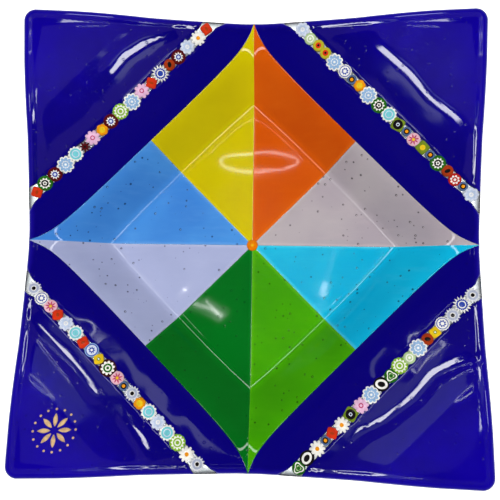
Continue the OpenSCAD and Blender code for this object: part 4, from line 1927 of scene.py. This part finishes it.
    def area_lamp(self, name: str, place: Vector, target: Vector, size: tuple[float, float],
                  power: float) -> bpy.types.Object:
        """Adds a rectangular lamp that faces a point.

        Args:
            name: Its name.
            place: Its middle.
            target: Point that it faces.
            size: Width and height; its width lies level.
            power: Its power in watts.

        Returns:
            The lamp.
        """
        data = bpy.data.lights.new(name, "AREA")
        data.shape = "RECTANGLE"
        data.size, data.size_y = size
        data.energy = power
        lamp = bpy.data.objects.new(name, data)
        turn = (place - target).to_track_quat("Z", "Y")
        lamp.matrix_world = Matrix.Translation(place) @ turn.to_matrix().to_4x4()
        bpy.context.scene.collection.objects.link(lamp)
        return lamp

    def mirror_lamp(self, name: str, place: Vector, target: Vector, size: tuple[float, float],
                    glow: float, pieces: Sequence[str]) -> bpy.types.Object:
        """Adds a lamp that only shows as a reflection, and only in some pieces.

        Args:
            name: Its name.
            place: Its middle.
            target: Point that it faces.
            size: Width and height.
            glow: Its brightness.
            pieces: Names of the pieces that mirror it.

        Returns:
            The lamp.
        """
        lamp = self.area_lamp(name, place, target, size, glow * math.pi * size[0] * size[1])
        lamp.visible_diffuse = False
        group = bpy.data.collections.new(f"{name}_mirrored_by")
        for piece in pieces:
            group.objects.link(bpy.data.objects[piece])
        lamp.light_linking.receiver_collection = group
        return lamp

    def softbox(self, turn: float) -> None:
        """Adds a large softbox for the even light, too soft to mirror.

        Args:
            turn: Its direction, in degrees.
        """
        around, up = math.radians(turn), math.radians(self.box_elevation)
        level = math.cos(up)
        place = Vector((level * math.cos(around), level * math.sin(around), math.sin(up))) * self.box_away
        lamp = self.area_lamp(f"softbox_{turn}", place, Vector((0, 0, 0)), self.box_size, self.box_power)
        lamp.visible_glossy = False

    def strip(self, turn: float, pieces: Sequence[str]) -> None:
        """Adds a strip lamp that draws a thin line along a side of the floor.

        Args:
            turn: Its direction, in degrees.
            pieces: Names of the pieces that mirror it.
        """
        around, lean = math.radians(turn), math.radians(self.strip_lean)
        level, high = math.sin(lean), math.cos(lean)
        place = Vector((level * math.cos(around), level * math.sin(around), high)) * self.strip_away
        self.mirror_lamp(f"strip_{turn}", place, Vector((0, 0, 0)), self.strip_size,
                         self.strip_glow, pieces)

    def card(self, turns: int, quarter: str) -> None:
        """Hangs a pale card that the outer part of a wing mirrors.

        Args:
            turns: Quarter turns to the wing.
            quarter: Name of its quarter.
        """
        height = self.card_height
        start = height * math.tan(math.radians(self.card_starts[turns]))
        reach = start + self.card_size[1] / 2
        around = math.radians(45 + 90 * turns)
        place = Vector((reach * math.cos(around), reach * math.sin(around), height))
        below = Vector((place.x, place.y, 0))
        lamp = self.mirror_lamp(f"card_{quarter}", place, below, self.card_size,
                                self.card_glows[turns], [f"wing_{quarter}_glass"])
        lamp.data.color = self.card_tint
        turn = Matrix.Rotation(around + math.pi / 2, 4, "Z")
        lamp.matrix_world = Matrix.Translation(place) @ turn

    def ring_lamp(self) -> None:
        """Hangs the ring lamp that the floor mirrors."""
        bm = bmesh.new()
        ring = bmesh.ops.create_circle(bm, cap_ends=False, segments=96, radius=1)["verts"]
        edges = list({edge for vert in ring for edge in vert.link_edges})
        grown = bmesh.ops.extrude_edge_only(bm, edges=edges)["geom"]
        outer = [g for g in grown if isinstance(g, bmesh.types.BMVert)]
        bmesh.ops.scale(bm, verts=outer, vec=(*self.ring_widen, 1))
        bmesh.ops.scale(bm, verts=bm.verts[:], vec=(*self.ring_size, 1))
        bmesh.ops.translate(bm, verts=bm.verts[:], vec=self.ring_at)
        lamp = bpy.data.objects.new("ring_lamp", mesh_of(bm, "ring_lamp"))
        bpy.context.scene.collection.objects.link(lamp)
        material, g, _ = new_material("ring_lamp_light")
        light = g.add("Emission", {"Strength": self.ring_strength})
        g.add("OutputMaterial", {"Surface": light.outputs[0]})
        lamp.data.materials.append(material)
        lamp.visible_diffuse = False

    def mirrored_place(self, at: tuple[float, float], along: Vector,
                       lift: float) -> tuple[Vector, Vector, Matrix]:
        """Finds where the camera looks after the glass has mirrored its view.

        Args:
            at: Place on the blank.
            along: Level direction about which the glass is steeper there.
            lift: Degrees by which it is steeper.

        Returns:
            The place, the spot on the glass, and the turn of a lamp whose width lies along.
        """
        flat = np.array([[*at, self.slump.thick]])
        spot = Vector(self.slump.carried(flat)[0])
        out = Vector(self.slump.normals(flat[:, 0], flat[:, 1])[0])
        out.rotate(Matrix.Rotation(math.radians(lift), 3, along))
        view = (spot - self.camera_place()).normalized()
        mirrored = view - 2 * view.dot(out) * out
        across = mirrored.cross(along).normalized()
        axes = Matrix((across.cross(mirrored), across, mirrored)).transposed().to_4x4()
        return spot + mirrored * self.lamp_away, spot, axes

    def streak_lamp(self, index: int, streak: StreakLamp) -> None:
        """Adds a streak lamp, and a wide dim one for the haze round it.

        Args:
            index: Number of the lamp.
            streak: The lamp.
        """
        u, v = (streak.p - streak.t) / ROOT2, (streak.p + streak.t) / ROOT2
        for _ in range(streak.turns):
            u, v = -v, u
        row = math.radians(90 * streak.turns - 45)
        along = Vector((math.cos(row), math.sin(row), 0))
        place, spot, axes = self.mirrored_place((u, v), along, streak.lift)
        pieces = streak.pieces or (f"wing_{QUARTERS[streak.turns]}_glass",)
        lean = Matrix.Rotation(math.radians(streak.tilt), 4, "Z")
        sizes = {"core": (streak.length, streak.width)}
        if streak.glow > self.halo_from and not streak.lift:
            sizes["halo"] = (streak.length * self.halo_length, streak.width * self.halo_width)
        for name, size in sizes.items():
            glow = streak.glow * (1 if name == "core" else self.halo_share)
            lamp = self.mirror_lamp(f"streak_{index}_{name}", place, spot, size, glow, pieces)
            lamp.matrix_world = Matrix.Translation(place) @ axes @ lean

    def rim_lamp(self, index: int, rim: RimLamp) -> None:
        """Adds a lamp for the line along a rim.

        Args:
            index: Number of the lamp.
            rim: The lamp.
        """
        around = math.radians(rim.along)
        along = Vector((math.cos(around), math.sin(around), 0))
        inward = along.cross(Vector((0, 0, 1))).dot(Vector((*rim.at, 0))) < 0
        lift = rim.lift if inward else -rim.lift
        place, spot, axes = self.mirrored_place(rim.at, along, lift)
        lamp = self.mirror_lamp(f"rim_{index}", place, spot, rim.size, rim.glow,
                                [f"wing_{QUARTERS[rim.turns]}_glass"])
        lamp.matrix_world = Matrix.Translation(place) @ axes


def tile_finishes() -> dict[str, SheetGlass]:
    """Chooses the finishes of the eight tiles, by colour."""
    return {
        "yellow": SheetGlass("yellow_sheet", srgb(168, 154, 0), srgb(152, 140, 0), srgb(172, 160, 10),
                             seeds=0.0),
        "orange": SheetGlass("orange_sheet", srgb(172, 70, 2), srgb(158, 56, 0), srgb(186, 92, 20),
                             seeds=0.0),
        "pearl": SheetGlass("pearl_sheet", srgb(146, 138, 141), srgb(130, 120, 129), srgb(168, 156, 154)),
        "cyan": SheetGlass("cyan_sheet", srgb(8, 150, 182), srgb(0, 130, 166), srgb(70, 176, 196)),
        "lime": SheetGlass("lime_sheet", srgb(56, 136, 0), srgb(40, 114, 0), srgb(84, 150, 10)),
        "dark_green": SheetGlass("dark_green_sheet", srgb(0, 86, 18), srgb(0, 76, 14),
                                 srgb(10, 102, 32), seeds=0.5),
        "lilac": SheetGlass("lilac_sheet", srgb(136, 142, 172), srgb(121, 127, 156), srgb(154, 160, 185)),
        "sky": SheetGlass("sky_sheet", srgb(58, 118, 180), srgb(38, 92, 162), srgb(96, 142, 188)),
    }


def main() -> None:
    """Builds the bowl piece by piece, then the studio."""
    logging.basicConfig(level=logging.INFO, format="%(name)s: %(message)s")
    slump = Slump()
    kiln = Kiln(slump)
    BaseSheet(kiln).build(ClearGlass("clear_base"))
    Tiles(kiln).build(tile_finishes())
    # The cobalt's third colour is painted shade, laid over the bands and along the row of murrine and
    # fading out across the wings
    cobalt = SheetGlass("cobalt_sheet", srgb(10, 0, 122), srgb(6, 0, 100), srgb(4, 0, 86), seeds=0.15,
                        # Its rim colour is a painted lighter rim
                        wisps=0.1, rim=srgb(20, 8, 126), seam_tone_and_painted_shade_w=46 * MM, seam_tone_and_painted_shade_share=0.9)
    CobaltFrame(kiln).build(cobalt)
    Murrine(kiln).build()
    Ornament(kiln).build(Gilding("fired_gold"))
    Studio(slump).build()


if __name__ == "__main__":
    main()
